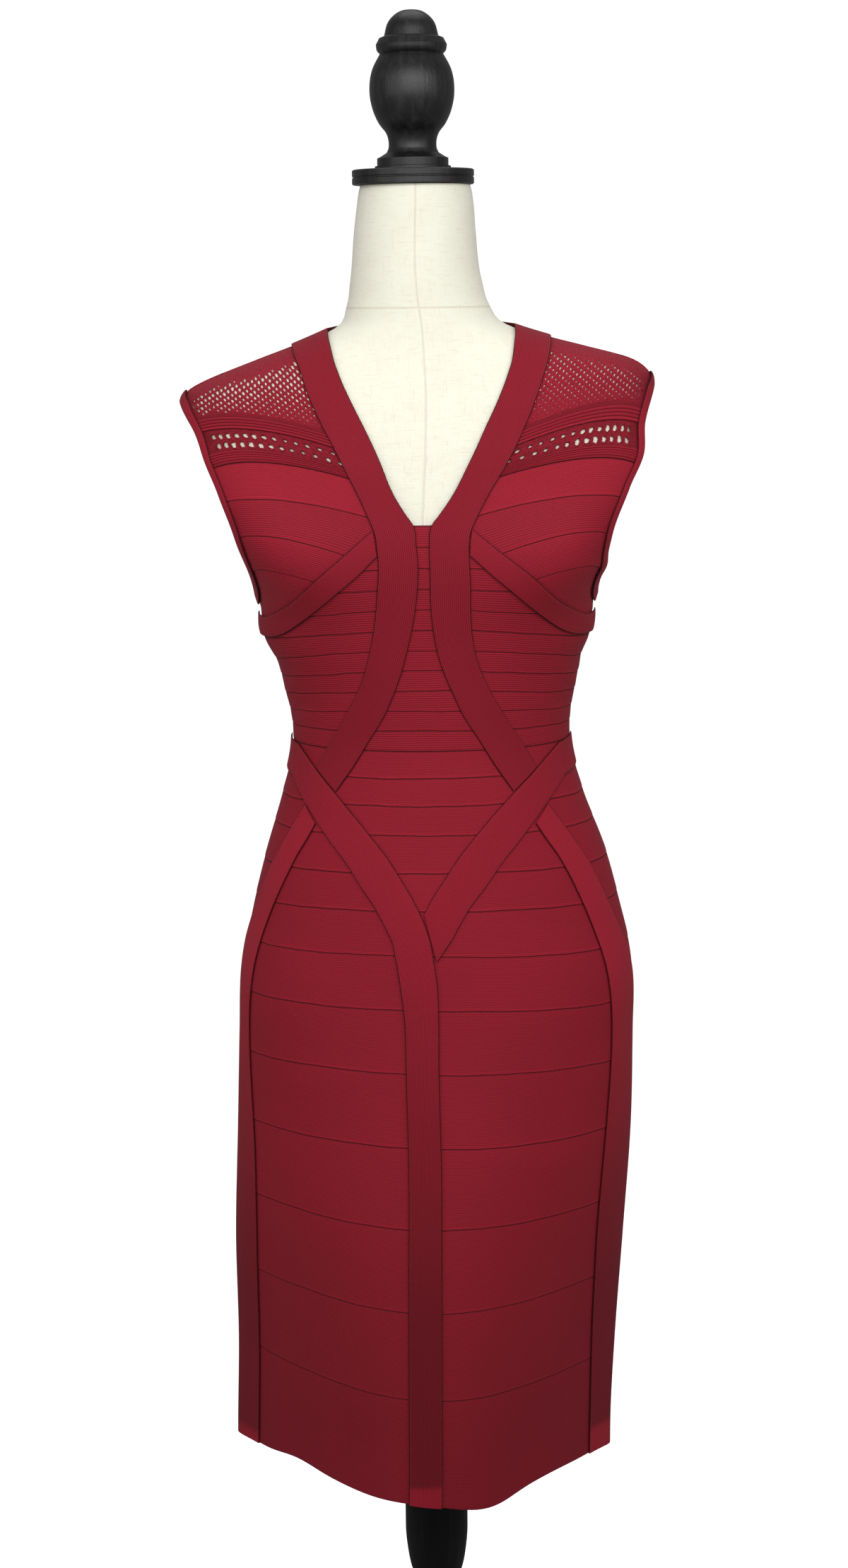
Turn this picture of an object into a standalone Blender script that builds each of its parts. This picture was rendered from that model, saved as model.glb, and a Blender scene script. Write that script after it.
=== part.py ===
"""A knitted bodycon dress on a limbless dress form with a turned wooden stand.

Everything that follows the figure is placed on one surface, skin(turn, height):
turn is in degrees, 0 at centre front (-Y), 90 at the side seam at +X and 180 at
centre back; height is above the floor.
The dress's walls are that surface moved outwards, the form is it moved inwards.
Lengths are metres.
"""

import math

import bmesh
import bpy
from mathutils import Vector
from mathutils.geometry import delaunay_2d_cdt

# --- Figure: one row for each level --------------------------------------------------
# height, half width, shift in x, depth in front, depth behind, squareness, twist (deg)
# squareness over 0 rounds a level towards a box, under 0 towards a lens.
LEVELS = (
    (0.400, 0.1592, -0.0072, 0.1345, 0.1130, -0.25, 0.0),
    (0.430, 0.1590, -0.0066, 0.1340, 0.1130, -0.24, 0.0),
    (0.500, 0.1595, -0.0036, 0.1325, 0.1120, -0.21, -1.0),
    (0.600, 0.1630, 0.0000, 0.1275, 0.1100, -0.15, -2.0),
    (0.700, 0.1642, 0.0055, 0.1195, 0.1100, -0.08, -3.5),
    (0.780, 0.1632, 0.0078, 0.1130, 0.1120, -0.03, -4.6),
    (0.836, 0.1619, 0.0094, 0.1090, 0.1140, 0.00, -5.0),
    (0.885, 0.1524, 0.0092, 0.1045, 0.1100, 0.00, -4.8),
    (0.934, 0.1399, 0.0090, 0.0985, 0.0990, 0.00, -4.4),
    (0.982, 0.1238, 0.0072, 0.0920, 0.0840, 0.00, -4.0),
    (1.030, 0.1129, 0.0068, 0.0870, 0.0740, 0.00, -3.4),
    (1.077, 0.1194, 0.0058, 0.0910, 0.0790, 0.00, -2.6),
    (1.112, 0.1316, 0.0041, 0.0960, 0.0870, 0.01, -1.8),
    (1.145, 0.1358, 0.0040, 0.1010, 0.0930, 0.02, -1.2),
    (1.172, 0.1473, 0.0044, 0.1035, 0.0970, 0.03, -0.8),
    (1.205, 0.1652, 0.0026, 0.1030, 0.0990, 0.04, -0.4),
    (1.238, 0.1878, 0.0025, 0.0985, 0.0990, 0.05, 0.0),
    (1.263, 0.1982, 0.0024, 0.0925, 0.0960, 0.05, 0.4),
    (1.286, 0.1948, 0.0024, 0.0845, 0.0900, 0.04, 0.6),
    (1.309, 0.1896, 0.0023, 0.0750, 0.0820, 0.03, 0.8),
    (1.320, 0.1848, 0.0023, 0.0700, 0.0770, 0.02, 0.8),
    (1.331, 0.1655, 0.0022, 0.0650, 0.0720, 0.01, 0.8),
    (1.342, 0.1322, 0.0022, 0.0605, 0.0670, 0.00, 0.8),
    (1.353, 0.0975, 0.0022, 0.0570, 0.0630, 0.00, 0.8),
    (1.365, 0.0680, 0.0020, 0.0545, 0.0600, 0.00, 0.6),
    (1.380, 0.0580, 0.0000, 0.0520, 0.0570, 0.00, 0.3),
    (1.400, 0.0530, -0.0014, 0.0505, 0.0540, 0.00, 0.0),
    (1.440, 0.0487, -0.0018, 0.0478, 0.0498, 0.00, 0.0),
    (1.460, 0.0467, -0.0012, 0.0462, 0.0478, 0.00, 0.0),
    (1.470, 0.0453, -0.0011, 0.0450, 0.0464, 0.00, 0.0),
    (1.480, 0.0425, -0.0010, 0.0425, 0.0435, 0.00, 0.0),
)

# The right shoulder is a little higher: height, rise per distance from the middle
SHOULDER_TILT = ((1.27, 0.0), (1.34, 0.030), (1.375, 0.0))
# and both lean to one side: height, shift in x at the sides
SHOULDER_LEAN = ((1.240, 0.0), (1.263, 0.0), (1.286, -0.0042), (1.309, -0.0043), (1.320, -0.0026),
                 (1.331, 0.0008), (1.342, 0.0), (1.353, 0.0))

# Swellings and folds: turn, height, half turn (deg), half height, rise
SIDEWAYS = 0.55           # share of a swelling's rise that goes sideways
MOUNDS = (
    (-40.0, 1.192, 24.0, 0.046, 0.0275),    # bust
    (40.0, 1.192, 24.0, 0.046, 0.0275),
    (-150.0, 1.235, 26.0, 0.060, 0.0060),   # shoulder blades
    (150.0, 1.235, 26.0, 0.060, 0.0060),
    (-152.0, 0.835, 24.0, 0.060, 0.0080),   # seat
    (152.0, 0.835, 24.0, 0.060, 0.0080),
    (-88.0, 1.096, 24.0, 0.014, -0.0040),   # the waist's hollows under the arms
    (88.0, 1.099, 24.0, 0.010, -0.0024),
)
FOLDS = (
    (-88.0, 1.124, 20.0, 0.0110, 0.0022),   # cloth pushed up under the arm
    (-86.0, 1.098, 20.0, 0.0110, -0.0016),
    (88.0, 1.128, 20.0, 0.0120, 0.0022),
    (90.0, 1.100, 22.0, 0.0110, -0.0018),
    (72.0, 1.178, 22.0, 0.0075, 0.0060),    # the armhole's edge puckers
    (-118.0, 1.082, 22.0, 0.0120, 0.0020),  # hollow of the back
    (124.0, 1.070, 24.0, 0.0120, 0.0020),
    (-128.0, 1.046, 22.0, 0.0120, -0.0016),
    (118.0, 1.040, 20.0, 0.0120, -0.0015),
    (86.0, 0.868, 9.0, 0.0200, 0.0016),     # hip
    (-24.0, 0.440, 8.0, 0.0500, -0.0030),   # soft dents that run up from the hem
    (30.0, 0.430, 8.0, 0.0550, -0.0034),
    (-52.0, 0.440, 9.0, 0.0700, 0.0024),
    (54.0, 0.450, 9.0, 0.0600, 0.0022),
    (150.0, 0.450, 10.0, 0.0700, -0.0028),
    (-140.0, 0.440, 9.0, 0.0600, -0.0026),
)

# --- Cloth ---------------------------------------------------------------------------
CLOTH = 0.0012            # wall of a knit strip at its upper edge
LAP = 0.0004              # how far a strip's lower edge stands proud of the one below
GAP = 0.0003              # parting of two sewn edges
BAND_IN = 0.0022          # a band's inner face, out from the figure
BAND_OUT = 0.0033         # a band's outer face
TOP_BAND_IN = 0.0027      # the faces of the hip band that crosses the others
TOP_BAND_OUT = 0.0038
UNDERBUST_IN = 0.0029     # the faces of the under-bust bands
UNDERBUST_OUT = 0.0040
RIB_RISE = 0.0010         # height of a thick cord over the valley beside it
SEAM_ALLOWANCE = 0.0060   # how far a panel runs on under a band

HEM_HEIGHT = 0.4105
WAIST_HEIGHT = 1.0312
SKIRT_STRIPS = (0.0900, 0.0740, 0.0690, 0.0670, 0.0610, 0.0520, 0.0440,
                0.0360, 0.0302, 0.0300, 0.0235, 0.0220, 0.0220)
BODICE_STRIP = 0.01647
FRONT_STRIPS = 11
BACK_STRIPS = ((0.01647, 11), (0.0300, 3), (0.0150, 2))
BACK_SHOULDER_ROWS = (1.3405, 1.3465)
TALLEST_ROW = 0.100       # a taller strip gets a row in its middle

# The skirt is pulled askew: it sinks at the right side and rises at the left. Each row
# is the height where a pull starts, how far down it grows, and how much it is.
LEAN = ((0.93, 0.10, 0.0045), (0.60, 0.10, 0.0030))
# Waves of the hem: turn, half turn (deg), rise
HEM_WAVES = ((-41.0, 12.0, 0.0060), (20.0, 13.0, -0.0100))
HEM_WAVE_HIGH = 0.11      # how far up the skirt they are felt

# How far a cross seam sinks at the side: height, drop
DROOPS = ((0.40, 0.000), (0.66, 0.001), (0.78, 0.006), (0.88, 0.006), (1.00, 0.002),
          (1.035, 0.002), (1.07, 0.009), (1.12, 0.015), (1.18, 0.010), (1.26, 0.000),
          (1.36, 0.000))

ARMHOLE_HEIGHT = 1.230    # middle of the armhole
ARMHOLE_RISE = 0.080      # half of its height
ARMHOLE_TURN = 40.0       # half of its width, in degrees
ARMHOLE_BAND = 0.0090
ARMHOLE_BAND_IN = 0.0026
ARMHOLE_BAND_OUT = 0.0037

FRONT_MIDDLE_TURN = 9.6   # where the top of the front bodice ends under the neck bands
FRONT_SIDE_COLUMNS = 7
SMALLEST_CUT = 0.0040     # a cut cell less deep than this is left out
BACK_COLUMNS = 7

# --- Bands: distance from centre front seen square on, and height, of both edges -----
# inner edge x, inner edge height, outer edge x, outer edge height
NECK_BAND = (
    (0.0735, 1.3560, 0.1025, 1.3475),
    (0.0720, 1.3490, 0.1005, 1.3410),
    (0.0695, 1.3370, 0.0970, 1.3310),
    (0.0650, 1.3240, 0.0925, 1.3180),
    (0.0575, 1.3070, 0.0860, 1.3020),
    (0.0465, 1.2850, 0.0760, 1.2810),
    (0.0350, 1.2610, 0.0635, 1.2575),
    (0.0225, 1.2350, 0.0500, 1.2340),
    (0.0125, 1.2200, 0.0425, 1.2190),
    (0.0070, 1.2125, 0.0380, 1.2090),
    (0.0048, 1.1950, 0.0355, 1.1920),
    (0.0048, 1.1650, 0.0360, 1.1630),
    (0.0060, 1.1470, 0.0370, 1.1420),
    (0.0092, 1.1250, 0.0400, 1.1180),
    (0.0145, 1.1020, 0.0455, 1.0960),
    (0.0225, 1.0795, 0.0540, 1.0750),
    (0.0310, 1.0600, 0.0650, 1.0540),
    (0.0430, 1.0395, 0.0765, 1.0340),
    (0.0560, 1.0170, 0.0830, 1.0215),
    (0.0700, 0.9960, 0.0875, 1.0132),
)
NECK_INNER_X = 0.0745     # where the band's edges meet the shoulder seam
NECK_OUTER_X = 0.1040
BACK_NECK_INNER = 1.3720  # the back neck band at centre back
BACK_NECK_OUTER = 1.3440

# upper edge x, upper edge height, lower edge x, lower edge height
UNDERBUST_BAND = (
    (0.0390, 1.2085, 0.0366, 1.1890),
    (0.0560, 1.1940, 0.0500, 1.1755),
    (0.0770, 1.1752, 0.0695, 1.1580),
    (0.0970, 1.1550, 0.0910, 1.1385),
    (0.1210, 1.1380, 0.1110, 1.1235),
)
UNDERBUST_SIDE = (1.1350, 1.1170)

HIP_BAND = (
    (0.1040, 1.0290, 0.1095, 1.0020),
    (0.0960, 1.0210, 0.1020, 0.9910),
    (0.0840, 1.0080, 0.0910, 0.9760),
    (0.0700, 0.9940, 0.0770, 0.9580),
    (0.0550, 0.9780, 0.0620, 0.9400),
    (0.0400, 0.9605, 0.0490, 0.9210),
    (0.0280, 0.9455, 0.0380, 0.9060),
    (0.0180, 0.9300, 0.0300, 0.8920),
    (0.0080, 0.9140, 0.0236, 0.8795),
)
HIP_SIDE = (1.0325, 1.0060)
SHORT_BAND_END = ((0.0019, 0.9018, 0.0130, 0.8632),)
# the long band turns down the centre front; its upper edge has then crossed over
LONG_BAND_TAIL = (
    (0.0000, 0.8990, 0.0218, 0.8728),
    (-0.0060, 0.8840, 0.0195, 0.8620),
    (-0.0110, 0.8605, 0.0171, 0.8480),
    (-0.0135, 0.8434, 0.0151, 0.8340),
    (-0.0145, 0.8200, 0.0128, 0.8150),
    (-0.0146, 0.7800, 0.0118, 0.7800),
    (-0.0146, 0.7400, 0.0116, 0.7400),
    (-0.0148, 0.6700, 0.0113, 0.6700),
    (-0.0150, 0.6000, 0.0113, 0.6000),
    (-0.0148, 0.5400, 0.0115, 0.5400),
    (-0.0145, 0.4800, 0.0118, 0.4800),
    (-0.0140, 0.4105, 0.0123, 0.4105),
)

# inner edge turn, inner edge height, outer edge turn, outer edge height
SIDE_BAND = (
    (43.3, 0.9680, 51.7, 0.9826),
    (46.5, 0.9530, 56.0, 0.9680),
    (50.0, 0.9380, 60.5, 0.9500),
    (54.5, 0.9130, 66.5, 0.9270),
    (58.8, 0.8860, 72.0, 0.9000),
    (61.8, 0.8590, 78.5, 0.8720),
    (64.2, 0.8270, 85.0, 0.8450),
    (65.8, 0.7900, 89.7, 0.8000),
    (64.8, 0.7540, 89.7, 0.7540),
    (63.0, 0.7200, 89.7, 0.7200),
    (61.0, 0.6700, 89.7, 0.6700),
    (60.0, 0.6100, 89.7, 0.6100),
    (60.4, 0.5450, 89.7, 0.5450),
    (61.0, 0.4800, 89.7, 0.4800),
    (61.5, 0.4105, 89.7, 0.4105),
)

# --- Slanting lines over the bust: height at the neck band, midway, at the armhole ---
NET_BOTTOM = (1.2835, 1.3005, 1.2960)
HOLES_TOP = (1.2700, 1.2872, 1.2842)
HOLES_BOTTOM = (1.2540, 1.2702, 1.2655)
RIBS_BOTTOM = (1.2470, 1.2615, 1.2560)
BUST_SEAM_1 = (1.2183, 1.2325, 1.2308)
# start x, height at the start, midway and at the armhole, for lines that start on or
# near the under-bust band
BUST_MIDDLE = (0.0345, 1.2010, 1.2190, 1.2180)
BUST_SEAM_2 = (0.0540, 1.1890, 1.2050, 1.2030)
BUST_SEAM_3 = (0.0760, 1.1690, 1.1790, 1.1730)
BUST_FLOOR = (0.0760, 1.1680, 1.1350, 1.1318)
BUST_COLUMNS = 9
RIDGE_POWER = 1.9         # over 1 draws the yoke's rows together towards the shoulder seam
CORDS = 4                 # thick cords in a rib band
HOLES_IN_ROW = 14
HOLE_SIDES = 5
HOLE_ALONG = 0.27         # half of a hole, as a share of the pitch along the band
HOLE_ACROSS = 0.165       # and of the band's width
HOLE_ROWS = (0.27, 0.73)  # the rows' places across the band
FIRST_HOLE = 0.65         # the first hole's place, in pitches from the neck band
HOLE_STRETCH = 1.16
OPENWORK_COLUMNS = 24     # steps that follow the band's curve

# --- Form and stand ------------------------------------------------------------------
# gap between the form and the dress's inside: height, gap
FORM_EASE = ((0.70, 0.0024), (1.00, 0.0020), (1.10, 0.0022), (1.20, 0.0028),
             (1.30, 0.0040), (1.345, 0.0040), (1.368, 0.0008), (1.40, 0.0000))
FORM_BOTTOM = 0.7000
FORM_TOP = 1.4752
FORM_CAP_EASE = 0.0040    # how far the flat arm plates lie inside the armholes
FORM_CAP_ROUND = 0.0140
FORM_COLUMNS = 28

STAND_X = 0.0030          # the stand's axis under the form
FINIAL_X = -0.0027
TURNED_STEPS = 18

# radius, height: the finial's outline from the top down
FINIAL = (
    (0.0000, 1.6110), (0.0080, 1.6098), (0.0145, 1.6058), (0.0190, 1.6000),
    (0.0216, 1.5905), (0.0255, 1.5890), (0.0282, 1.5840),
    (0.0275, 1.5795), (0.0252, 1.5768), (0.0306, 1.5670),
    (0.0330, 1.5590), (0.0338, 1.5508), (0.0333, 1.5420), (0.0306, 1.5315),
    (0.0262, 1.5225), (0.0214, 1.5164), (0.0194, 1.5110), (0.0192, 1.5045),
    (0.0208, 1.5006), (0.0258, 1.4975), (0.0285, 1.4962), (0.0285, 1.4905),
    (0.0304, 1.4900), (0.0304, 1.4877), (0.0000, 1.4877),
)
NECK_PLATE = (
    (0.0000, 1.4874), (0.0478, 1.4874), (0.0488, 1.4866), (0.0488, 1.4824),
    (0.0482, 1.4818), (0.0482, 1.4811), (0.0488, 1.4805), (0.0488, 1.4764),
    (0.0480, 1.4756), (0.0000, 1.4756),
)
STEM = (
    (0.0000, 0.6996), (0.0620, 0.6996), (0.0640, 0.6970), (0.0640, 0.6900),
    (0.0600, 0.6860), (0.0400, 0.6820), (0.0300, 0.6740), (0.0272, 0.6600),
    (0.0272, 0.3280), (0.0262, 0.3120), (0.0235, 0.2940), (0.0195, 0.2800),
    (0.0175, 0.2720), (0.0190, 0.2660), (0.0225, 0.2620), (0.0225, 0.2560),
    (0.0180, 0.2520), (0.0000, 0.2520),
)
POLE_RADIUS = 0.0125
POLE_TOP = 0.2517
BASE = (
    (0.0000, 0.0420), (0.0220, 0.0420), (0.0260, 0.0400), (0.0290, 0.0340),
    (0.0380, 0.0290), (0.0700, 0.0262), (0.1450, 0.0225), (0.1660, 0.0200),
    (0.1740, 0.0150), (0.1750, 0.0080), (0.1740, 0.0000), (0.0000, 0.0000),
)
BASE_TOP = 0.0420

# --- Colours: linear red, green, blue ------------------------------------------------
WINE = (0.270, 0.012, 0.022, 1.0)
WINE_BAND = (0.300, 0.014, 0.025, 1.0)
LINEN = (0.830, 0.800, 0.690, 1.0)
BLACK_PAINT = (0.012, 0.012, 0.013, 1.0)

COLLECTION = "bodycon_dress"


# --- Interpolation -------------------------------------------------------------------
def blend_rows(rows, key):
    """The row of a table at one value of its first column, on a smooth curve."""
    if key <= rows[0][0]:
        return rows[0][1:]
    if key >= rows[-1][0]:
        return rows[-1][1:]
    i = 0
    while rows[i + 1][0] < key:
        i += 1
    step = rows[i + 1][0] - rows[i][0]
    t = (key - rows[i][0]) / step

    def slope(at, column):
        if at in (0, len(rows) - 1):
            return (rows[i + 1][column] - rows[i][column]) / step
        below = rows[at][0] - rows[at - 1][0]
        above = rows[at + 1][0] - rows[at][0]
        rate_below = (rows[at][column] - rows[at - 1][column]) / below
        rate_above = (rows[at + 1][column] - rows[at][column]) / above
        return (rate_below * above + rate_above * below) / (below + above)

    values = []
    for column in range(1, len(rows[0])):
        start, end = rows[i][column], rows[i + 1][column]
        value = start * (1 + 2 * t) * (1 - t) ** 2 + end * t * t * (3 - 2 * t)
        value += step * slope(i, column) * t * (1 - t) ** 2
        value += step * slope(i + 1, column) * t * t * (t - 1)
        values.append(value)
    return tuple(values)


def curve_through(rows, count):
    """A table's rows resampled to count rows on a smooth curve, evenly by length."""
    lengths = [0.0]
    for a, b in zip(rows, rows[1:]):
        lengths.append(lengths[-1] + math.dist(a[:2], b[:2]))
    keyed = [(length,) + tuple(row) for length, row in zip(lengths, rows)]
    return [blend_rows(keyed, lengths[-1] * i / (count - 1)) for i in range(count)]


def three_point(values, t):
    """A parabola through three values at t = 0, 0.5 and 1."""
    start, middle, end = values
    return start * (1 - t) * (1 - 2 * t) + middle * 4 * t * (1 - t) + end * t * (2 * t - 1)


# --- Figure --------------------------------------------------------------------------
def side_width(height):
    return blend_rows(LEVELS, height)[0]


def rise_at(turn, height, swellings):
    total = 0.0
    for at_turn, at_height, half_turn, half_height, rise in swellings:
        away = (turn - at_turn + 180.0) % 360.0 - 180.0
        across = away / half_turn
        along = (height - at_height) / half_height
        if abs(across) < 3 and abs(along) < 3:
            total += rise * math.exp(-across * across - along * along)
    return total


def skin(turn, height, folds=True):
    """The figure's surface, which is the inside of the dress."""
    width, shift, front, back, square, twist = blend_rows(LEVELS, height)
    angle = math.radians(turn + twist)
    boxy = max(square, 0.0)
    depth = front if math.cos(angle) > 0 else back
    x = width * (math.sin(angle) + boxy * math.sin(3 * angle)) / (1 - boxy)
    y = -depth * (math.cos(angle) - square * math.cos(3 * angle)) / (1 - square)
    rise = rise_at(turn, height, MOUNDS)
    if folds:
        rise += rise_at(turn, height, FOLDS)
    x += rise * SIDEWAYS * math.sin(math.radians(turn))
    y -= rise * math.cos(math.radians(turn))
    shift += blend_rows(SHOULDER_LEAN, height)[0] * math.sin(math.radians(turn)) ** 2
    return Vector((shift + x, y, height + x * blend_rows(SHOULDER_TILT, height)[0]))


def on_skin(turn, height, out):
    """A point moved out from the surface along its normal."""
    across = skin(turn + 0.5, height) - skin(turn - 0.5, height)
    along = skin(turn, height + 0.0015) - skin(turn, height - 0.0015)
    return skin(turn, height) + across.cross(along).normalized() * out


def turn_at(x, height):
    """The turn at which the front lies a distance x from centre front."""
    width, _, _, _, square, _ = blend_rows(LEVELS, height)
    boxy = max(square, 0.0)
    low, high = 0.0, 90.0
    if abs(x) >= width:
        return math.copysign(side_turn(height), x)
    for _ in range(40):
        middle = (low + high) / 2
        angle = math.radians(middle)
        if width * (math.sin(angle) + boxy * math.sin(3 * angle)) / (1 - boxy) < abs(x):
            low = middle
        else:
            high = middle
    return math.copysign(low, x)


def side_turn(height):
    """The side seam's edge, half a gap short of the side."""
    return 90.0 - math.degrees(GAP / 2 / side_width(height))


def ridge_height(x):
    """The height of the shoulder seam at a distance x from the middle."""
    low, high = 1.309, 1.380
    for _ in range(40):
        middle = (low + high) / 2
        if side_width(middle) > x:
            low = middle
        else:
            high = middle
    return low


def droop(turn, height):
    return blend_rows(DROOPS, height)[0] * math.sin(math.radians(turn)) ** 2


def askew(turn, height):
    """A height on the skirt after the pull and the waves of its hem."""
    lean = 0.0
    for start, reach, most in LEAN:
        share = min(max((start - height) / reach, 0.0), 1.0)
        lean += most * share * share * (3 - 2 * share)
    fade = max((HEM_HEIGHT + HEM_WAVE_HIGH - height) / HEM_WAVE_HIGH, 0.0) ** 2
    wave = sum(rise * math.exp(-((turn - at) / half) ** 2) for at, half, rise in HEM_WAVES)
    return height - lean * math.sin(math.radians(turn)) + fade * wave


def armhole_turn(height, spread=0.0):
    """Half of the armhole's width at a height, in degrees; spread widens it."""
    rise = ARMHOLE_RISE + spread
    share = (height - ARMHOLE_HEIGHT) / rise
    if abs(share) >= 1:
        return 0.0
    width = side_width(height)
    return (ARMHOLE_TURN + math.degrees(spread / width)) * math.sqrt(1 - share * share)


def neck_outer_x(height):
    """The neck band's outer edge at a height over the bust."""
    rows = [(row[3], row[2]) for row in reversed(NECK_BAND)]
    return blend_rows(rows, height)[0]


# --- Mesh helpers --------------------------------------------------------------------
def collection_named(name):
    group = bpy.data.collections.new(name)
    bpy.context.scene.collection.children.link(group)
    return group


def finish(name, mesh, colour, roughness, sheen=0.0):
    """An object of a mesh, with a material of its own."""
    material = bpy.data.materials.new(name + "_finish")
    material.use_nodes = True
    shader = material.node_tree.nodes["Principled BSDF"]
    shader.inputs["Base Color"].default_value = colour
    shader.inputs["Roughness"].default_value = roughness
    shader.inputs["Metallic"].default_value = 0.0
    shader.inputs["Sheen Weight"].default_value = sheen
    material.diffuse_color = colour
    mesh.materials.append(material)
    thing = bpy.data.objects.new(name, mesh)
    PARTS.objects.link(thing)
    return thing


def wall(name, cells, inside=0.0, colour=WINE):
    """A closed cloth wall: cells of (turn, height, out) outside, one plain face inside."""
    shell = bmesh.new()
    outer, inner = {}, {}

    def outer_vertex(corner):
        key = (round(corner[0], 4), round(corner[1], 6), round(corner[2], 6))
        if key not in outer:
            outer[key] = shell.verts.new(on_skin(*corner))
            base = key[:2]
            if base not in inner:
                inner[base] = shell.verts.new(on_skin(corner[0], corner[1], inside))
            partner[outer[key]] = inner[base]
        return outer[key]

    def face(ring):
        distinct = [v for i, v in enumerate(ring) if v is not ring[i - 1]]
        if len(distinct) > 2:
            shell.faces.new(distinct)

    partner = {}
    borders = {}
    for cell in cells:
        ring = [outer_vertex(corner) for corner in cell]
        ring = [v for i, v in enumerate(ring) if v is not ring[i - 1]]
        if len(ring) < 3:
            continue
        face(ring)
        face([partner[v] for v in reversed(ring)])
        for a, b in zip(ring, ring[1:] + ring[:1]):
            if (b, a) in borders:
                del borders[(b, a)]
            else:
                borders[(a, b)] = True
    for a, b in borders:
        face([b, a, partner[a], partner[b]])
    bmesh.ops.recalc_face_normals(shell, faces=shell.faces)
    mesh = bpy.data.meshes.new(name)
    shell.to_mesh(mesh)
    shell.free()
    mesh.shade_smooth()
    mesh.set_sharp_from_angle(angle=math.radians(40))
    return finish(name, mesh, colour, 0.75, 0.3)


def row_cells(rows):
    """Cells between rows of (points, out below, out above); a change in out is a step."""
    cells = []
    for (lower, _, out_low), (upper, out_high, _) in zip(rows, rows[1:]):
        for j in range(len(lower) - 1):
            cells.append((lower[j] + (out_low,), lower[j + 1] + (out_low,),
                          upper[j + 1] + (out_high,), upper[j] + (out_high,)))
    for points, below, above in rows[1:-1]:
        if below != above:
            for a, b in zip(points, points[1:]):
                cells.append((a + (below,), b + (below,), b + (above,), a + (above,)))
    return cells


def spread_line(start, end, count, height_at):
    """Points from one turn to another on the line height_at(turn)."""
    turns = [start + (end - start) * i / count for i in range(count + 1)]
    return [(turn, height_at(turn)) for turn in turns]


def turned(name, outline, x, colour, roughness, steps=TURNED_STEPS):
    """A solid turned about an upright axis."""
    profile = bmesh.new()
    ring = [profile.verts.new((radius, 0.0, height)) for radius, height in outline]
    for a, b in zip(ring, ring[1:]):
        profile.edges.new((a, b))
    mesh = bpy.data.meshes.new(name)
    profile.to_mesh(mesh)
    profile.free()
    thing = finish(name, mesh, colour, roughness)
    thing.location.x = x
    screw = thing.modifiers.new("turn", "SCREW")
    screw.axis = "Z"
    screw.steps = steps
    screw.render_steps = steps
    screw.use_merge_vertices = True
    screw.merge_threshold = 0.0001
    screw.use_smooth_shade = True
    return thing


# --- Knit strips ---------------------------------------------------------------------
def strip_heights(bottom, widths):
    """Heights of the seams, and of the rows between them, with whether each is a seam."""
    heights = [(bottom, True)]
    for width in widths:
        if width > TALLEST_ROW:
            heights.append((heights[-1][0] + width / 2, False))
            heights.append((heights[-1][0] + width / 2, True))
        else:
            heights.append((heights[-1][0] + width, True))
    return heights


def strip_rows(heights, turns_of):
    """Lapped rows of a panel of strips; turns_of(line) gives a row's turns."""
    rows = []
    for height, is_seam in heights:
        def line(turn, base=height):
            return askew(turn, base) - droop(turn, base)
        points = [(turn, line(turn)) for turn in turns_of(line)]
        if is_seam:
            rows.append((points, CLOTH, CLOTH + LAP))
        else:
            rows.append((points, CLOTH + LAP / 2, CLOTH + LAP / 2))
    return rows


def underbust_line(turn):
    """Height of the under-bust band's middle over the front."""
    rows = []
    for top_x, top, bottom_x, bottom in UNDERBUST_BAND:
        middle = (top + bottom) / 2
        rows.append((turn_at((top_x + bottom_x) / 2, middle), middle))
    rows.append((90.0, sum(UNDERBUST_SIDE) / 2))
    return blend_rows(rows, abs(turn))[0]


def front_turns(line):
    """Columns from side seam to side seam, two of them between the neck bands."""
    side = side_turn(line(90.0))
    count = FRONT_SIDE_COLUMNS
    outer = [FRONT_MIDDLE_TURN + (side - FRONT_MIDDLE_TURN) * i / count for i in range(count + 1)]
    return [-turn for turn in reversed(outer)] + [0.0] + outer


def cut_below(cells):
    """The parts of the cells that lie under the under-bust bands' middle line."""
    def over(corner):
        return corner[1] - underbust_line(corner[0])

    kept = []
    for cell in cells:
        if max(abs(corner[0]) for corner in cell) < FRONT_MIDDLE_TURN + 0.01:
            kept.append(cell)
            continue
        ring = []
        for a, b in zip(cell, cell[1:] + cell[:1]):
            if over(a) <= 0:
                ring.append(a)
            if (over(a) > 0) != (over(b) > 0):
                under, above = (a, b) if over(a) <= 0 else (b, a)
                share = over(under) / (over(under) - over(above))
                ring.append(tuple(p + (q - p) * share for p, q in zip(under, above)))
        if ring and max(-over(corner) for corner in ring) > SMALLEST_CUT:
            kept.append(tuple(ring))
    return kept


def make_front():
    skirt = strip_heights(HEM_HEIGHT, SKIRT_STRIPS)
    wall("front_skirt", row_cells(strip_rows(skirt, front_turns)))
    bodice = strip_heights(WAIST_HEIGHT + GAP, [BODICE_STRIP] * FRONT_STRIPS)
    wall("front_bodice", cut_below(row_cells(strip_rows(bodice, front_turns))))


def back_turns(line):
    """Columns from the side, armhole or shoulder seam to centre back."""
    side = side_turn(line(90.0))
    start = 180.0 - side
    start = max(start, 90.0 + armhole_turn(line(120.0), ARMHOLE_BAND / 3))
    depth = blend_rows(LEVELS, line(180.0))[3]
    end = 180.0 - math.degrees(GAP / 2 / depth)
    return [start + (end - start) * i / BACK_COLUMNS for i in range(BACK_COLUMNS + 1)]


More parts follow.
